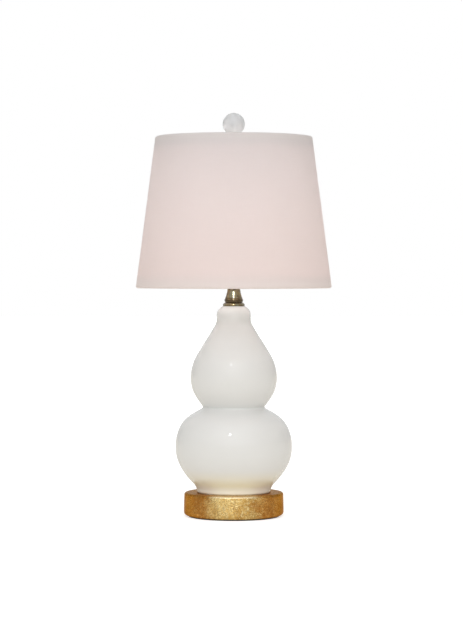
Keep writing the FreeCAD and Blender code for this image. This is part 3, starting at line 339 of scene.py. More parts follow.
def gold_leaf():
    """Crinkled leaf over red-brown bole: folds with the bole showing, laps, worn places, pale flecks that are partly
    painted glints, and painted shade and a painted highlight on the sides and top edge.
    """
    m = Make("gold_leaf")
    x, y, z = m.xyz()
    turnw = m.math("MULTIPLY", m.math("ARCTAN2", y, x), 0.064)
    warp = m.t.nodes.new("ShaderNodeTexNoise")
    m.put(warp.inputs["Vector"], m.place)
    warp.inputs["Scale"].default_value = 210.0
    warp.inputs["Detail"].default_value = 2.0
    pull = m.t.nodes.new("ShaderNodeVectorMath")
    pull.operation = "MULTIPLY_ADD"
    m.put(pull.inputs[0], warp.outputs["Color"])
    pull.inputs[1].default_value = (0.0032, 0.0032, 0.0032)
    m.put(pull.inputs[2], m.place)
    bent = pull.outputs[0]
    # folds: creased cells, two sizes
    edge1 = m.cells(265.0, "DISTANCE_TO_EDGE", at=bent)
    edge2 = m.cells(560.0, "DISTANCE_TO_EDGE", at=bent)
    dome1 = m.cells(265.0, at=bent)
    dome2 = m.cells(560.0, at=bent)
    where = m.noise(95.0, 3, 0.6)
    fine = m.noise(1500.0, 2, 0.6)
    patch = m.noise(34.0, 4, 0.62, warp=0.4)
    rub_and_glint_noise = m.noise(140.0, 4, 0.7, warp=0.6)
    crack1 = m.span(edge1, 0.0, m.span(where, 0.40, 0.62, 0.020, 0.135))
    crack2 = m.span(edge2, 0.0, m.span(where, 0.38, 0.60, 0.045, 0.190))
    crack = m.math("SUBTRACT", 1.0, m.math("MULTIPLY", crack1, m.math("ADD", 0.35, m.math("MULTIPLY", crack2, 0.65))))
    # painted shade: the left and right sides of the plinth are darkened towards orange-brown, where they face the
    # darker sides of the room
    side = m.span(m.math("ADD", m.math("ABSOLUTE", x), m.math("MULTIPLY", m.math("SUBTRACT", patch, 0.5), 0.050)), 0.022, 0.040)
    # pale flecks: partly the leaf's own paler patches, partly painted glints of the key light on the crinkles
    pale_fleck_and_glint = m.span(m.math("ADD", m.math("MULTIPLY", rub_and_glint_noise, 0.35), m.math("MULTIPLY", m.noise(330.0, 4, 0.75, warp=0.8), 0.65)), 0.46, 0.60)
    tone = m.mix(m.span(patch, 0.40, 0.64), (0.800, 0.560, 0.205), (0.650, 0.390, 0.105))
    tone = m.mix(m.span(pale_fleck_and_glint, 0.0, 1.0, 0.0, 0.85), tone, (1.000, 0.835, 0.430))
    tone = m.mix(m.math("MULTIPLY", m.span(dome2, 0.25, 0.80), 0.14), tone, (0.520, 0.290, 0.075))
    tone = m.mix(m.math("MULTIPLY", side, 0.92), tone, m.mix(1.0, tone, (0.690, 0.430, 0.200), "MULTIPLY"))
    tone = m.mix(m.math("MULTIPLY", crack, 0.50), tone, (0.200, 0.085, 0.022))
    pit = m.span(m.noise(620.0, 3, 0.75, warp=0.6), 0.36, 0.47, 1.0, 0.0)
    tone = m.mix(m.math("MULTIPLY", pit, 0.45), tone, (0.260, 0.125, 0.030))
    # painted highlight: a cream band along the front of the top edge
    painted_rim_highlight = m.math("MULTIPLY", m.span(z, 0.0283, 0.0300), m.span(m.math("ABSOLUTE", x), 0.020, 0.036, 1.0, 0.0))
    tone = m.mix(m.math("MULTIPLY", painted_rim_highlight, 0.55), tone, (1.000, 0.920, 0.700))
    # painted shade: the top face is darkened to brown at its left and right sides
    top = m.math("MULTIPLY", m.span(z, 0.0300, 0.0308), m.span(m.math("ABSOLUTE", x), 0.044, 0.053))
    tone = m.mix(m.math("MULTIPLY", top, 0.55), tone, (0.150, 0.070, 0.028))
    lap = m.math("ABSOLUTE", m.math("SUBTRACT", m.math("FRACT", m.math("ADD", m.math("MULTIPLY", turnw, 12.4), m.math("MULTIPLY", rub_and_glint_noise, 0.10))), 0.5))
    tone = m.mix(m.math("MULTIPLY", m.span(lap, 0.0, 0.012, 1.0, 0.0), 0.35), tone, (0.300, 0.140, 0.040))
    rough = m.span(m.math("ADD", m.math("MULTIPLY", patch, 0.5), m.math("MULTIPLY", fine, 0.5)), 0.38, 0.62, 0.17, 0.34)
    h = m.math("ADD", m.math("ADD", m.math("MULTIPLY", m.span(edge1, 0.0, 0.40), 0.55), m.math("MULTIPLY", m.span(edge2, 0.0, 0.40), 0.30)),
               m.math("ADD", m.math("MULTIPLY", rub_and_glint_noise, 0.7), m.math("MULTIPLY", fine, 0.10)))
    m.set(base_color=tone, metallic=1.0, roughness=rough, normal=m.bump(h, 0.00030, 0.9),
          coat_weight=0.12, coat_roughness=0.20, specular_tint=(0.80, 0.55, 0.30))
    return m.mat


def antique_brass(name="antique_brass", scale=1.0):
    m = Make(name)
    x, y, z = m.xyz()
    blotch = m.noise(210.0 * scale, 4, 0.65, warp=0.8)
    broad = m.noise(75.0 * scale, 3, 0.6, at=m.scaled((1.0, 1.0, 0.7)))
    dark = m.span(m.math("ADD", m.math("MULTIPLY", blotch, 0.62), m.math("MULTIPLY", broad, 0.38)), 0.500, 0.620)
    green = m.span(m.noise(95.0 * scale, 3, 0.6, at=m.scaled((1.3, 1.3, 0.8))), 0.42, 0.60)
    tone = m.mix(green, (0.280, 0.220, 0.115), (0.240, 0.240, 0.165))
    tone = m.mix(m.math("MULTIPLY", dark, 0.80), tone, (0.065, 0.038, 0.015))
    # polish rings run round the piece
    lathe = m.noise(1.0, 2, 0.7, at=m.vec(m.math("MULTIPLY", x, 8.0), m.math("MULTIPLY", y, 8.0), m.math("MULTIPLY", z, 2600.0)))
    fine = m.noise(900.0, 2, 0.6)
    h = m.math("ADD", m.math("MULTIPLY", lathe, 0.4), m.math("ADD", m.math("MULTIPLY", blotch, 0.9), m.math("MULTIPLY", fine, 0.25)))
    m.set(base_color=tone, metallic=1.0, roughness=m.span(dark, 0.0, 1.0, 0.15, 0.28), normal=m.bump(h, 0.00012, 0.6),
          coat_weight=0.35, coat_roughness=0.12)
    return m, tone


def neck_brass():
    """Cast brass toned dark: the tone stays in the coves, the cone and the flange's edge are rubbed pale. Painted shade
    darkens its foot on the porcelain and its top under the shade.
    """
    m, tone = antique_brass("neck_brass")
    x, y, z = m.xyz()
    bead = m.math("MULTIPLY", m.span(z, 0.2773, 0.2778), m.span(z, 0.2825, 0.2850, 1.0, 0.0))
    tone = m.mix(m.math("MULTIPLY", bead, 0.80), tone, (0.075, 0.046, 0.020))
    cove = m.math("MULTIPLY", m.span(z, 0.2760, 0.2768), m.span(z, 0.2777, 0.2784, 1.0, 0.0))
    tone = m.mix(m.math("MULTIPLY", cove, 0.75), tone, (0.045, 0.026, 0.012))
    # painted shade: the foot of the check ring is darkened where it sits on the porcelain
    low = m.span(z, 0.2731, 0.2740, 1.0, 0.0)
    tone = m.mix(m.math("MULTIPLY", low, 0.85), tone, (0.110, 0.055, 0.020))
    # painted shade: the top of the neck is darkened where it sits under the shade
    top = m.span(z, 0.2950, 0.2985)
    tone = m.mix(m.math("MULTIPLY", top, 0.55), tone, (0.120, 0.085, 0.045))
    m.set(base_color=tone)
    return m.mat


def plated(name, tone, low, rough=(0.16, 0.30), scale=60.0, scratch=0.5):
    m = Make(name)
    smudge = m.noise(scale, 4, 0.65)
    spots = m.noise(scale * 7, 3, 0.6)
    col = m.mix(m.span(smudge, 0.42, 0.68), tone, low)
    drawn = m.noise(1.0, 3, 0.7, at=m.scaled((900.0, 900.0, 60.0)))
    m.set(base_color=col, metallic=1.0,
          roughness=m.span(m.math("ADD", m.math("MULTIPLY", smudge, 0.7), m.math("MULTIPLY", spots, 0.3)), 0.35, 0.65, rough[0], rough[1]),
          normal=m.bump(m.math("ADD", m.math("MULTIPLY", drawn, scratch), m.math("MULTIPLY", spots, 0.4)), 0.00005, 0.5))
    return m.mat


def moulded(name, tone, low, rough=(0.35, 0.5), scale=900.0, depth=0.00004):
    m = Make(name)
    cloud = m.noise(45.0, 3, 0.6)
    grain = m.noise(scale, 3, 0.6)
    m.set(base_color=m.mix(m.span(cloud, 0.35, 0.7), tone, low),
          roughness=m.span(grain, 0.35, 0.65, rough[0], rough[1]), normal=m.bump(grain, depth, 0.6))
    return m.mat


def felt():
    m = Make("felt")
    fibre = m.noise(1500.0, 4, 0.75, warp=1.5)
    matted = m.noise(120.0, 3, 0.6)
    tone = m.mix(m.span(fibre, 0.35, 0.65), (0.020, 0.019, 0.018), (0.060, 0.056, 0.050))
    m.set(base_color=m.mix(m.math("MULTIPLY", matted, 0.4), tone, (0.035, 0.032, 0.030)), roughness=0.95,
          sheen_weight=0.5, sheen_roughness=0.5, normal=m.bump(m.math("ADD", fibre, m.math("MULTIPLY", matted, 0.5)), 0.0004, 0.8),
          specular_ior_level=0.2)
    return m.mat


def linen(name="shade_linen"):
    """Plain weave in fine uneven threads, blush over off-white, a little light coming through; painted lighter towards
    the bottom and at the hems.
    """
    m = Make(name)
    x, y, z = m.xyz()
    turn = m.math("ARCTAN2", y, x)
    warp = m.math("MULTIPLY", turn, 1180 / TAU * 1.0)
    weft = m.math("MULTIPLY", z, 1 / 0.00058)
    wave = m.math("MULTIPLY", m.math("SINE", m.math("MULTIPLY", warp, math.pi)), m.math("SINE", m.math("MULTIPLY", weft, math.pi)))
    # slubs: thick places drawn out along single threads
    up = m.noise(1.0, 3, 0.7, at=m.vec(m.math("MULTIPLY", turn, 190.0), m.math("MULTIPLY", z, 28.0), 0.0))
    round_ = m.noise(1.0, 3, 0.7, at=m.vec(m.math("MULTIPLY", turn, 4.5), m.math("MULTIPLY", z, 1250.0), 3.0))
    big = m.noise(14.0, 3, 0.55)
    slub = m.math("ADD", m.math("MULTIPLY", up, 0.55), m.math("MULTIPLY", round_, 0.45))
    # painted light: the cloth is lighter and warmer towards the bottom, standing in for the bulb's glow through it
    painted_glow_gradient = m.span(z, 0.300, 0.492, 0.0, 1.0, "LINEAR")
    tone = m.mix(painted_glow_gradient, (0.990, 0.895, 0.882), (0.850, 0.805, 0.815))
    tone = m.mix(m.span(slub, 0.36, 0.64, 0.0, 0.075), tone, (0.66, 0.56, 0.51))
    tone = m.mix(m.span(big, 0.3, 0.7, 0.0, 0.05), tone, (0.96, 0.90, 0.86))
    # painted light: the rolled hems are lightened a little
    painted_hem_light = m.math("ADD", m.span(z, 0.3035, 0.3047, 1.0, 0.0), m.span(z, 0.4852, 0.4864))
    tone = m.mix(m.math("MULTIPLY", painted_hem_light, 0.10), tone, (0.97, 0.93, 0.88))
    h = m.math("ADD", m.math("MULTIPLY", wave, 0.30), m.math("MULTIPLY", slub, 1.0))
    nrm = m.bump(h, 0.00022, 0.55)
    m.set(base_color=tone, roughness=0.86, sheen_weight=0.18, sheen_roughness=0.4, normal=nrm, specular_ior_level=0.25)
    thin = m.shader("ShaderNodeBsdfTranslucent", Color=m.mix(0.5, tone, (1.0, 0.95, 0.95)), Normal=nrm)
    through = m.math("SUBTRACT", 0.42, m.math("MULTIPLY", m.math("ADD", m.span(z, 0.3065, 0.3130, 1.0, 0.0), m.span(z, 0.4760, 0.4820)), 0.15))
    m.surface(m.join(through, m.bsdf.outputs[0], thin))
    return m.mat


def lining():
    m = Make("shade_sheet")
    cloud = m.noise(20.0, 3, 0.5)
    grain = m.noise(700.0, 2, 0.6)
    tone = m.mix(m.span(cloud, 0.3, 0.7), (0.92, 0.91, 0.89), (0.95, 0.94, 0.92))
    nrm = m.bump(grain, 0.00005, 0.5)
    m.set(base_color=tone, roughness=m.span(grain, 0.3, 0.7, 0.42, 0.55), normal=nrm)
    thin = m.shader("ShaderNodeBsdfTranslucent", Color=(0.97, 0.96, 0.96), Normal=nrm)
    m.surface(m.join(0.60, m.bsdf.outputs[0], thin))
    return m.mat


def milk_ball():
    """Pressed milk glass: grey-white, light passing through it, a clear skin."""
    m = Make("milk_ball")
    x, y, z = m.xyz()
    cloud = m.noise(60.0, 4, 0.6, warp=1.0)
    tone = m.ramp(cloud, [(0.3, (0.80, 0.81, 0.825)), (0.6, (0.84, 0.85, 0.865)), (0.85, (0.81, 0.82, 0.835))])
    dimple = m.noise(150.0, 2, 0.5)
    nrm = m.bump(dimple, 0.00012, 0.4)
    m.set(base_color=tone, roughness=m.span(dimple, 0.3, 0.7, 0.22, 0.32), coat_weight=1.0, coat_roughness=0.04, normal=nrm)
    thin = m.shader("ShaderNodeBsdfTranslucent", Color=(0.86, 0.88, 0.90), Normal=nrm)
    m.surface(m.join(0.45, m.bsdf.outputs[0], thin))
    return m.mat


def frosted():
    m = Make("bulb_frost")
    mist = m.noise(240.0, 3, 0.6)
    tone = m.mix(m.span(mist, 0.35, 0.65), (0.90, 0.88, 0.83), (0.94, 0.92, 0.88))
    m.set(base_color=tone, roughness=m.span(mist, 0.3, 0.7, 0.30, 0.42), coat_weight=0.5, coat_roughness=0.08,
          normal=m.bump(mist, 0.00005, 0.3), emission_color=(0.98, 0.96, 0.97), emission_strength=BULB)
    return m.mat


def hardwood():
    m = Make("turned_wood")
    x, y, z = m.xyz()
    ring = m.noise(1.0, 4, 0.6, at=m.scaled((260.0, 90.0, 30.0)), warp=0.8)
    pore = m.noise(1.0, 3, 0.7, at=m.scaled((1600.0, 1600.0, 120.0)))
    tone = m.ramp(ring, [(0.3, (0.34, 0.20, 0.09)), (0.5, (0.48, 0.30, 0.15)), (0.7, (0.56, 0.37, 0.20))])
    m.set(base_color=m.mix(m.span(pore, 0.55, 0.7, 0.0, 0.5), tone, (0.18, 0.09, 0.04)), roughness=m.span(pore, 0.3, 0.7, 0.5, 0.65),
          normal=m.bump(pore, 0.0001, 0.6))
    return m.mat


def card():
    m = Make("liner_card")
    fibre = m.noise(1.0, 4, 0.7, at=m.scaled((700.0, 700.0, 300.0)), warp=0.6)
    tone = m.mix(m.span(fibre, 0.35, 0.65), (0.62, 0.55, 0.42), (0.72, 0.66, 0.54))
    m.set(base_color=tone, roughness=0.85, normal=m.bump(fibre, 0.0001, 0.6), specular_ior_level=0.25)
    return m.mat


PORCELAIN, GOLD, NECK = porcelain(), gold_leaf(), neck_brass()
FINIAL_BRASS = antique_brass("finial_brass")[0].mat
LINEN, LINING, BALL = linen(), lining(), milk_ball()
BRASS_PLATE = plated("brass_plate", (0.79, 0.60, 0.28), (0.62, 0.45, 0.19), (0.14, 0.30))
SOCKET_BRASS = plated("socket_brass", (0.80, 0.62, 0.30), (0.66, 0.49, 0.22), (0.22, 0.38), 45.0)
PLAIN_BRASS = plated("plain_brass", (0.82, 0.65, 0.34), (0.68, 0.51, 0.24), (0.25, 0.42), 90.0)
ZINC = plated("zinc_steel", (0.66, 0.67, 0.66), (0.50, 0.50, 0.48), (0.28, 0.45), 110.0)
ALUMINIUM = plated("cap_aluminium", (0.80, 0.80, 0.80), (0.66, 0.66, 0.66), (0.25, 0.42), 120.0)
PHENOLIC = moulded("phenolic", (0.030, 0.024, 0.020), (0.050, 0.040, 0.033), (0.32, 0.48))
KNOB = moulded("knob_plastic", (0.016, 0.014, 0.013), (0.026, 0.023, 0.021), (0.16, 0.28), 600.0, 0.00002)
NYLON = moulded("grommet", (0.090, 0.075, 0.060), (0.120, 0.100, 0.082), (0.35, 0.5))
RUBBER = moulded("gasket_rubber", (0.62, 0.58, 0.50), (0.70, 0.66, 0.58), (0.5, 0.65))
VITRITE = moulded("black_glass", (0.020, 0.018, 0.022), (0.035, 0.030, 0.035), (0.08, 0.16), 300.0, 0.00002)
FELT, FROST, WOOD, CARD = felt(), frosted(), hardwood(), card()

ON_NODES = {
    "base_felt": FELT, "cord_bushing": NYLON, "lamp_pipe": ZINC, "pipe_washer": ZINC, "lock_washer": ZINC,
    "pipe_nut": ZINC, "foot_gasket": RUBBER, "foot_bushing": WOOD, "harp_saddle": BRASS_PLATE,
    "socket_cap": SOCKET_BRASS, "cap_set_screw": ZINC, "socket_shell": SOCKET_BRASS, "socket_liner": CARD,
    "socket_base_lower": PHENOLIC, "socket_base_upper": PHENOLIC, "terminal_screws": PLAIN_BRASS,
    "screw_shell": PLAIN_BRASS, "centre_contact": PLAIN_BRASS, "switch_rotor": PHENOLIC,
    "switch_shaft": PLAIN_BRASS, "switch_knob": KNOB, "bulb_contact": PLAIN_BRASS, "bulb_insulator": VITRITE,
    "bulb_cap": ALUMINIUM, "bulb_glass": FROST, "harp_bow": BRASS_PLATE, "harp_stud": BRASS_PLATE,
    "harp_ferrule_front": BRASS_PLATE, "harp_ferrule_rear": BRASS_PLATE, "spider_fitter": BRASS_PLATE,
    "top_ring": ZINC, "bottom_ring": ZINC, "shade_liner": LINING, "finial_insert": PLAIN_BRASS,
    "gourd_body": PORCELAIN, "base_plinth": GOLD, "check_ring": NECK, "brass_neck": NECK,
    "shade_cover": LINEN, "finial_base": FINIAL_BRASS, "finial_ball": BALL,
}
for node, material in ON_NODES.items():
    ob = NODES[node]
    ob.data.materials.clear()
    ob.data.materials.append(material)

# ---------------------------------------------------------------------------
# Porcelain body
# ---------------------------------------------------------------------------
OUTER = [
    (13.400, 273.000, -8.655), (16.350, 271.444, -40.036), (18.900, 269.200, -9.834),
    (21.160, 265.914, -10.092), (21.950, 262.000, 0), (22.000, 256.800, 17.937),
    (22.644, 252.038, 18.924), (24.500, 247.600, 0), (30.339, 237.700, 241.669),
    (36.500, 228.000, -167.571), (41.382, 220.253, 0), (46.100, 212.400, -111.241),
    (49.652, 206.115, -47.708), (52.500, 199.500, -68.031), (55.035, 189.885, -53.846),
    (55.950, 180.000, -47.154), (55.393, 172.775, -53.630), (53.800, 165.700, -36.055),
    (51.034, 158.975, -80.033), (47.300, 152.700, -118.408), (43.769, 147.633, -269.676),
    (40.050, 142.700, 3.202), (40.715, 140.901, 5.150), (42.200, 139.600, 190.559),
    (47.832, 136.452, -90.007), (53.400, 133.200, -86.618), (57.959, 130.106, -43.852),
    (62.200, 126.600, -31.440), (66.363, 121.816, -50.519), (69.700, 116.400, -40.173),
    (72.407, 110.055, -86.523), (74.300, 103.400, -38.057), (75.297, 96.747, -112.102),
    (75.500, 90.000, -59.210), (75.000, 82.320, -48.380), (73.400, 74.800, -53.859),
    (70.275, 66.732, -65.419), (66.000, 59.200, -108.528), (61.189, 52.470, -80.572),
    (55.800, 46.200, 0), (52.847, 43.071, 24.967), (50.200, 39.700, 16.369),
    (49.013, 37.551, 5.644), (48.500, 35.200, 0), (48.250, 33.100, -1.3),
]
FLOOR = [(47.1, 32.0, 0, 1.5), (42.0, 32.0, 0, 1.0), (41.0, 35.0, 0, 8.0), (12.0, 35.0, 0, 1.5), (12.0, 40.0, 0, 8.0),
         (42.0, 40.0, 7.0, 1.2)]
INNER = [
    (46.8, 43.2, 0), (52.325, 49.512, 75.856), (57.433, 55.458, 103.882), (61.991, 61.840, 54.563),
    (68.416, 75.300, 48.452), (70.700, 90.000, 68.156), (69.555, 102.440, 40.734), (65.463, 114.145, 34.311),
    (59.147, 122.571, 50.784), (50.832, 129.145, -63.086), (44.275, 133.913, 48.710), (37.637, 138.550, -5.179),
    (35.919, 140.173, -4.040), (35.250, 142.400, -6.332), (35.485, 144.107, -4.469), (36.251, 145.634, 266.932),
    (39.863, 150.422, 113.994), (43.291, 155.340, 51.080), (49.039, 167.125, 40.314), (51.150, 180.000, 49.451),
    (48.647, 195.533, 69.773), (42.000, 209.904, 0), (31.068, 227.490, 0), (20.343, 245.200, -23.721),
    (18.007, 250.795, -22.734), (17.200, 256.800, 0), (17.200, 262.000, 6.4), (12.500, 267.000, 0), (9.0, 267.0, 0),
    (9.0, 273.0, 0),
]


def thrown(r, z, a):
    """A cast and fired body is never quite round or even."""
    p = np.stack([r * np.cos(a), r * np.sin(a), z], 1)
    fade = smooth(33.0, 44.0, z) * smooth(272.5, 262.0, z) * (r > 20)
    slow = perlin(p / 46.0, 3) * 0.16 + perlin(p / 21.0, 4) * 0.05
    rings = perlin(np.stack([r * np.cos(a) / 90, r * np.sin(a) / 90, z / 6.5], 1), 5) * 0.035
    return (slow + rings) * fade


body_line = [(9.0, 273.0, 0, 1.5)] + [(r, z, b, 1.15) for r, z, b in OUTER] + FLOOR + [(*q, 4.0) for q in INNER[:-1]]
gourd = turned("porcelain_gourd", along(body_line, 2.0, turn=9.0), ring_angles(204), shift=thrown)
dress(gourd, PORCELAIN)
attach(gourd, "lamp")
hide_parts("gourd_body")

# ---------------------------------------------------------------------------
# Gilded plinth
# ---------------------------------------------------------------------------
PLINTH = [
    (40.0, 1.5, 0, 4.0), (60.3, 1.5, 4.5, 0.7), (64.8, 6.0, 0, 0.7), (64.8, 12.0, 0, 0.7), (64.4, 28.2, 3.0, 0.45),
    (61.4, 31.2, 0, 0.75),
    (44.0, 31.2, 0, 7.0), (5.3, 31.2, 0, 6.0), (5.3, 19.0, 0, 7.0), (40.0, 19.0, 0, 6.0),
]


def crumpled(r, z, a):
    p = np.stack([r * np.cos(a), r * np.sin(a), z], 1)
    p = p + np.stack([perlin(p / 9, 11), perlin(p / 9, 12), perlin(p / 9, 13)], 1) * 1.6
    fold = 0.0
    for size, deep, seed in ((9.5, 0.10, 21), (5.0, 0.10, 22), (2.7, 0.08, 23)):
        fold = fold + deep * (0.35 - np.abs(perlin(p / size, seed)))
    slow = perlin(p / 30.0, 24) * 0.10
    show = smooth(42.0, 47.0, r) * smooth(1.6, 3.0, z)
    near_hole = np.hypot(r * np.cos(a), z - 10.6) < 11.0
    calm = np.where(near_hole & (np.sin(a) > 0), smooth(8.6, 11.0, np.hypot(r * np.cos(a), z - 10.6)), 1.0)
    return (fold + slow) * show * calm


plinth = turned("gilded_plinth", along(PLINTH, 2.0, turn=10.0), ring_angles(540), shift=crumpled)
dress(plinth, GOLD)


def cut_round(target, radius, y0, y1, z, count=64):
    """Drills a round hole along Y."""
    cutter = turned("drill", [(0, y0), (radius, y0), (radius, y1), (0, y1)], ring_angles(count), closed=False,
                    turn_to=Matrix.Rotation(math.radians(-90), 3, "X"), at=(0, 0, z))
    mod = target.modifiers.new("hole", "BOOLEAN")
    mod.operation, mod.object, mod.solver = "DIFFERENCE", cutter, "EXACT"
    dg = bpy.context.evaluated_depsgraph_get()
    me = bpy.data.meshes.new_from_object(target.evaluated_get(dg))
    target.modifiers.remove(mod)
    old, target.data = target.data, me
    me.name = target.name
    bpy.data.meshes.remove(old)
    bpy.data.objects.remove(cutter)


cut_round(plinth, 8.4, 63.1, 76.0, 10.6)
cut_round(plinth, 5.2, 34.0, 76.0, 10.6)
plinth.data.materials.clear()
plinth.data.materials.append(GOLD)
plinth.data.set_sharp_from_angle(angle=math.radians(50))
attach(plinth, "lamp")
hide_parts("base_plinth")

# ---------------------------------------------------------------------------
# Brass neck and check ring
# ---------------------------------------------------------------------------


def handled(r, z, a):
    p = np.stack([r * np.cos(a), r * np.sin(a), z], 1)
    return perlin(p / 7.0, 31) * 0.045 * (r > 7.0)


check = turned("brass_check_ring", along([
    (5.05, 268.5), (8.7, 268.5), (8.7, 273.0), (13.5, 273.0, 0.7), (14.2, 273.7), (14.2, 274.5, 3.3),
    (12.4, 277.1, 0.9), (11.6, 277.4), (5.05, 277.4)], 0.6), ring_angles(128), shift=handled)
neck = turned("brass_neck_turned", along([
    (5.05, 277.4), (11.35, 277.4), (11.35, 278.3, 2.3), (12.1, 280.3, 3.2), (11.5, 282.6, -44.0),
    (8.35, 294.8, -60.0), (8.0, 299.0), (5.05, 299.0)], 0.6), ring_angles(128), shift=handled)
for ob, node in ((check, "check_ring"), (neck, "brass_neck")):
    dress(ob, NECK)
    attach(ob, "lamp")
    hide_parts(node)

# ---------------------------------------------------------------------------
# Finial
# ---------------------------------------------------------------------------
BALL_R, BALL_Z = 14.4, 509.0
seat = BALL_Z - math.sqrt(BALL_R ** 2 - 2.55 ** 2)


def blown(r, z, a):
    p = np.stack([r * np.cos(a), r * np.sin(a), z - BALL_Z], 1)
    return perlin(p / 11.0, 41) * 0.07 * (r > 3.0)


ball = turned("finial_ball_milk", along([
    (0.0, 502.1), (2.55, 502.1), (2.55, seat, BALL_R), (BALL_R, BALL_Z, BALL_R), (0.0, BALL_Z + BALL_R)],
    0.5, closed=False, turn=3.0), ring_angles(128), closed=False, shift=blown)
dress(ball, BALL)
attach(ball, "finial")
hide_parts("finial_ball")

foot = turned("finial_foot_turned", along([
    (4.35, 477.6), (7.2, 477.6), (7.6, 478.0), (7.6, 479.4, 0.7), (6.9, 480.1), (6.1, 480.3, -3.4),
    (5.7, 483.1, -12.0), (8.2, 496.1), (8.2, 496.6), (7.9, 496.82, -14.5), (2.5, 494.65), (2.5, 502.0), (0.0, 502.0)],
    0.5, closed=False) + [(0.0, 491.6), (4.35, 491.6)], ring_angles(96), closed=True)
dress(foot, FINIAL_BRASS)
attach(foot, "finial")
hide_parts("finial_base")

# ---------------------------------------------------------------------------
# Shade cloth
# ---------------------------------------------------------------------------
ROLL, TOP, LOW, RT, RB = 2.58, 492.6, 296.4, 102.0, 126.9
zt, zb = TOP - ROLL, LOW + ROLL
CLOTH = 0.7
COVER = [
    (RB, zb, 0, 2.4), (RT, zt, ROLL, 0.45), (RT - ROLL, TOP, ROLL, 0.45), (RT - 2 * ROLL, zt, 0, 0.8),
    (RT - 2 * ROLL, zt - 1.6, 0, 1.2), (RT - 1.35, zt - 6.2, 0, 1.2), (RT - 0.65, zt - 11.8, 0, 0.5),
    (RT - 0.05, zt - 11.8, 0, 1.2), (RT - 0.75, zt - 5.9, 0, 1.2), (RT - 2 * ROLL + CLOTH, zt - 1.4, 0, 0.8),
    (RT - 2 * ROLL + CLOTH, zt, -(ROLL - CLOTH), 0.6), (RT - ROLL, TOP - CLOTH, -(ROLL - CLOTH), 0.6),
    (RT - CLOTH, zt, 0, 5.0), (RB - CLOTH, zb, -(ROLL - CLOTH), 0.6), (RB - ROLL, LOW + CLOTH, -(ROLL - CLOTH), 0.6),
    (RB - 2 * ROLL + CLOTH, zb, 0, 0.8), (RB - 2 * ROLL + CLOTH, zb + 1.4, 0, 1.2), (RB - 2.3, zb + 5.9, 0, 1.2),
    (RB - 3.05, zb + 11.6, 0, 0.5), (RB - 3.65, zb + 11.6, 0, 1.2), (RB - 2.9, zb + 6.1, 0, 1.2),
    (RB - 2 * ROLL, zb + 1.6, 0, 0.8), (RB - 2 * ROLL, zb, ROLL, 0.45), (RB - ROLL, LOW, ROLL, 0.45),
]


def laminated(r, z, a):
    """Cloth over card and wire: faint waves, the ring's edge showing, a lapped seam at the back."""
    p = np.stack([r * np.cos(a), r * np.sin(a), z], 1)
    wall = RB + (RT - RB) * (z - zb) / (zt - zb)
    outside = (r > wall - 0.35) | (z > zt - 0.01) & (r > RT - ROLL) | (z < zb + 0.01) & (r > RB - ROLL)
    slow = perlin(p / 52.0, 51) * 0.16 + perlin(p / 19.0, 52) * 0.04
    edge = -0.16 * np.exp(-((z - (zb + 4.4)) / 0.7) ** 2) - 0.14 * np.exp(-((z - (zt - 4.4)) / 0.7) ** 2)
    pucker = perlin(np.stack([a * 26, z / 9, 0 * a], 1), 53) * 0.07 * (np.exp(-((z - LOW) / 4.5) ** 2) + np.exp(-((z - TOP) / 4.5) ** 2))
    off = (a - math.pi / 2) * r
    seam = 0.42 * smooth(-5.2, -4.4, off) * smooth(5.0, 4.7, off)
    seam = np.where(np.abs(a - math.pi / 2) < 0.4, seam, 0)
    return slow * 0.5 + np.where(outside, slow * 0.5 + edge + seam, 0) + pucker


seam_fine = math.pi / 2 + np.linspace(-6.4, 6.4, 33) / 115.0
coarse = np.linspace(math.pi / 2 + 6.4 / 115.0, math.pi / 2 - 6.4 / 115.0 + TAU, 236)[1:-1]
around = np.concatenate([seam_fine, coarse])
cover = turned("shade_cloth", along(COVER, 2.4, turn=16.0), around, shift=lambda r, z, a: laminated(r, z, np.where(a > math.pi, a - TAU, a)))
dress(cover, LINEN)
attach(cover, "shade")
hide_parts("shade_cover")

# ---------------------------------------------------------------------------
# Floor, light and camera
# ---------------------------------------------------------------------------
bpy.ops.mesh.primitive_grid_add(x_subdivisions=8, y_subdivisions=8, size=24, location=(0, 0, -0.0002))
floor = bpy.context.object
floor.name = "floor"

# direction the light comes from (degrees round from the front, degrees up), how
# narrow it is, and its strength in red, green and blue
ROOM = {
    "all_round": (0, 0, 0, (0.02, 0.02, 0.02)),
    "overhead": (0, 90, 1.0, (0.08, 0.06, 0.04)),
    "front_wide": (0, 5, 3.0, (0.800, 0.805, 0.802)),
    "front_mid": (0, 20, 9.0, (0.02, 0.02, 0.02)),
    "front_high": (0, 50, 3.0, (0.965, 0.975, 0.985)),
    "left": (-80, 10, 3.0, (0.27, 0.285, 0.28)),
    "right": (80, 10, 3.0, (0.19, 0.17, 0.14)),
    "behind": (180, 35, 3.0, (0.54, 0.56, 0.575)),
}
FLOOR_GLOW = (0.24, 0.21, 0.155)
KEY = 2.15

fm = Make("floor")
haze = fm.noise(1.4, 2, 0.5)
pale = fm.mix(fm.span(haze, 0.3, 0.7), (0.70, 0.70, 0.70), (0.72, 0.72, 0.715))
matte = fm.shader("ShaderNodeBsdfDiffuse", Color=pale)
seen = fm.t.nodes.new("ShaderNodeLightPath").outputs["Is Camera Ray"]
lift = fm.shader("ShaderNodeEmission", Color=(1, 1, 1), Strength=fm.math("MULTIPLY", seen, 0.62))
glow = fm.shader("ShaderNodeEmission", Color=FLOOR_GLOW, Strength=fm.math("SUBTRACT", 1.0, seen))
for extra in (lift, glow):
    both = fm.t.nodes.new("ShaderNodeAddShader")
    fm.t.links.new(matte, both.inputs[0])
    fm.t.links.new(extra, both.inputs[1])
    matte = both.outputs[0]
fm.surface(matte)
dress(floor, fm.mat)

scene = bpy.context.scene
world = bpy.data.worlds.new("studio")
scene.world = world
world.use_nodes = True
wt = world.node_tree
wt.nodes.clear()
w_out = wt.nodes.new("ShaderNodeOutputWorld")
w_dir = wt.nodes.new("ShaderNodeTexCoord").outputs["Generated"]


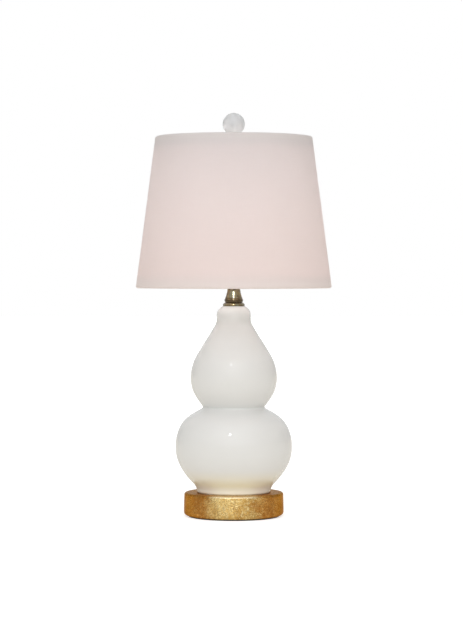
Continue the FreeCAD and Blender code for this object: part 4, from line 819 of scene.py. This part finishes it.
def room_light(az, el, narrow, tint):
    """One soft source of the room, as a world shader."""
    bg = wt.nodes.new("ShaderNodeBackground")
    bg.inputs["Color"].default_value = (*tint, 1)
    if not narrow:
        return bg.outputs[0]
    a, e = math.radians(az), math.radians(el)
    dot = wt.nodes.new("ShaderNodeVectorMath")
    dot.operation = "DOT_PRODUCT"
    wt.links.new(w_dir, dot.inputs[0])
    dot.inputs[1].default_value = (math.sin(a) * math.cos(e), -math.cos(a) * math.cos(e), math.sin(e))
    top = wt.nodes.new("ShaderNodeMath")
    top.operation = "MAXIMUM"
    wt.links.new(dot.outputs["Value"], top.inputs[0])
    power = wt.nodes.new("ShaderNodeMath")
    power.operation = "POWER"
    wt.links.new(top.outputs[0], power.inputs[0])
    power.inputs[1].default_value = narrow
    wt.links.new(power.outputs[0], bg.inputs["Strength"])
    return bg.outputs[0]


lit = None
for az, el, narrow, tint in ROOM.values():
    one = room_light(az, el, narrow, tint)
    if lit is None:
        lit = one
        continue
    both = wt.nodes.new("ShaderNodeAddShader")
    wt.links.new(lit, both.inputs[0])
    wt.links.new(one, both.inputs[1])
    lit = both.outputs[0]
plain = wt.nodes.new("ShaderNodeBackground")
plain.inputs["Color"].default_value = (1, 1, 1, 1)
path = wt.nodes.new("ShaderNodeLightPath")
w_mix = wt.nodes.new("ShaderNodeMixShader")
wt.links.new(path.outputs["Is Camera Ray"], w_mix.inputs[0])
wt.links.new(lit, w_mix.inputs[1])
wt.links.new(plain.outputs[0], w_mix.inputs[2])
wt.links.new(w_mix.outputs[0], w_out.inputs["Surface"])


def lamp(name, az, el, dist, size, watts, tint=(1, 1, 1), aim=(0, 0, 0.25)):
    data = bpy.data.lights.new(name, "AREA")
    data.shape, data.size, data.size_y, data.energy, data.color = "ELLIPSE", size[0], size[1], watts, tint
    ob = bpy.data.objects.new(name, data)
    a, e = math.radians(az), math.radians(el)
    ob.location = Vector(aim) + Vector((math.sin(a) * math.cos(e), -math.cos(a) * math.cos(e), math.sin(e))) * dist
    ob.rotation_euler = (Vector(aim) - ob.location).to_track_quat("-Z", "Y").to_euler()
    scene.collection.objects.link(ob)
    return ob


lamp("key", -8, 34.5, 2.6, (0.14, 0.24), KEY, aim=(0, 0, 0.15))

# a small strip inside the shade's front, seen only as the streak on the brass neck
streak = lamp("streak", -4, 27, 0.118, (0.020, 0.030), 0.0030, aim=(0, 0, 0.288))
streak.visible_camera = False
streak.data.spread = math.radians(34)

cam_data = bpy.data.cameras.new("camera")
cam = bpy.data.objects.new("camera", cam_data)
scene.collection.objects.link(cam)
scene.camera = cam
cam_data.sensor_fit = "AUTO"
cam_data.sensor_width = 36.0
cam_data.lens = 126.6
pitch = math.radians(1.315)
off = (231.5 - 233.8) * 1.2986 * MM
cam.location = (off, -2.922, 0.322)
cam.rotation_euler = (math.radians(90) - pitch, 0, 0)
cam_data.clip_start, cam_data.clip_end = 0.05, 60

scene.view_settings.view_transform = "Standard"
scene.view_settings.look = "None"
scene.view_settings.exposure = 0.0
scene.view_settings.gamma = 1.0

bpy.context.view_layer.update()
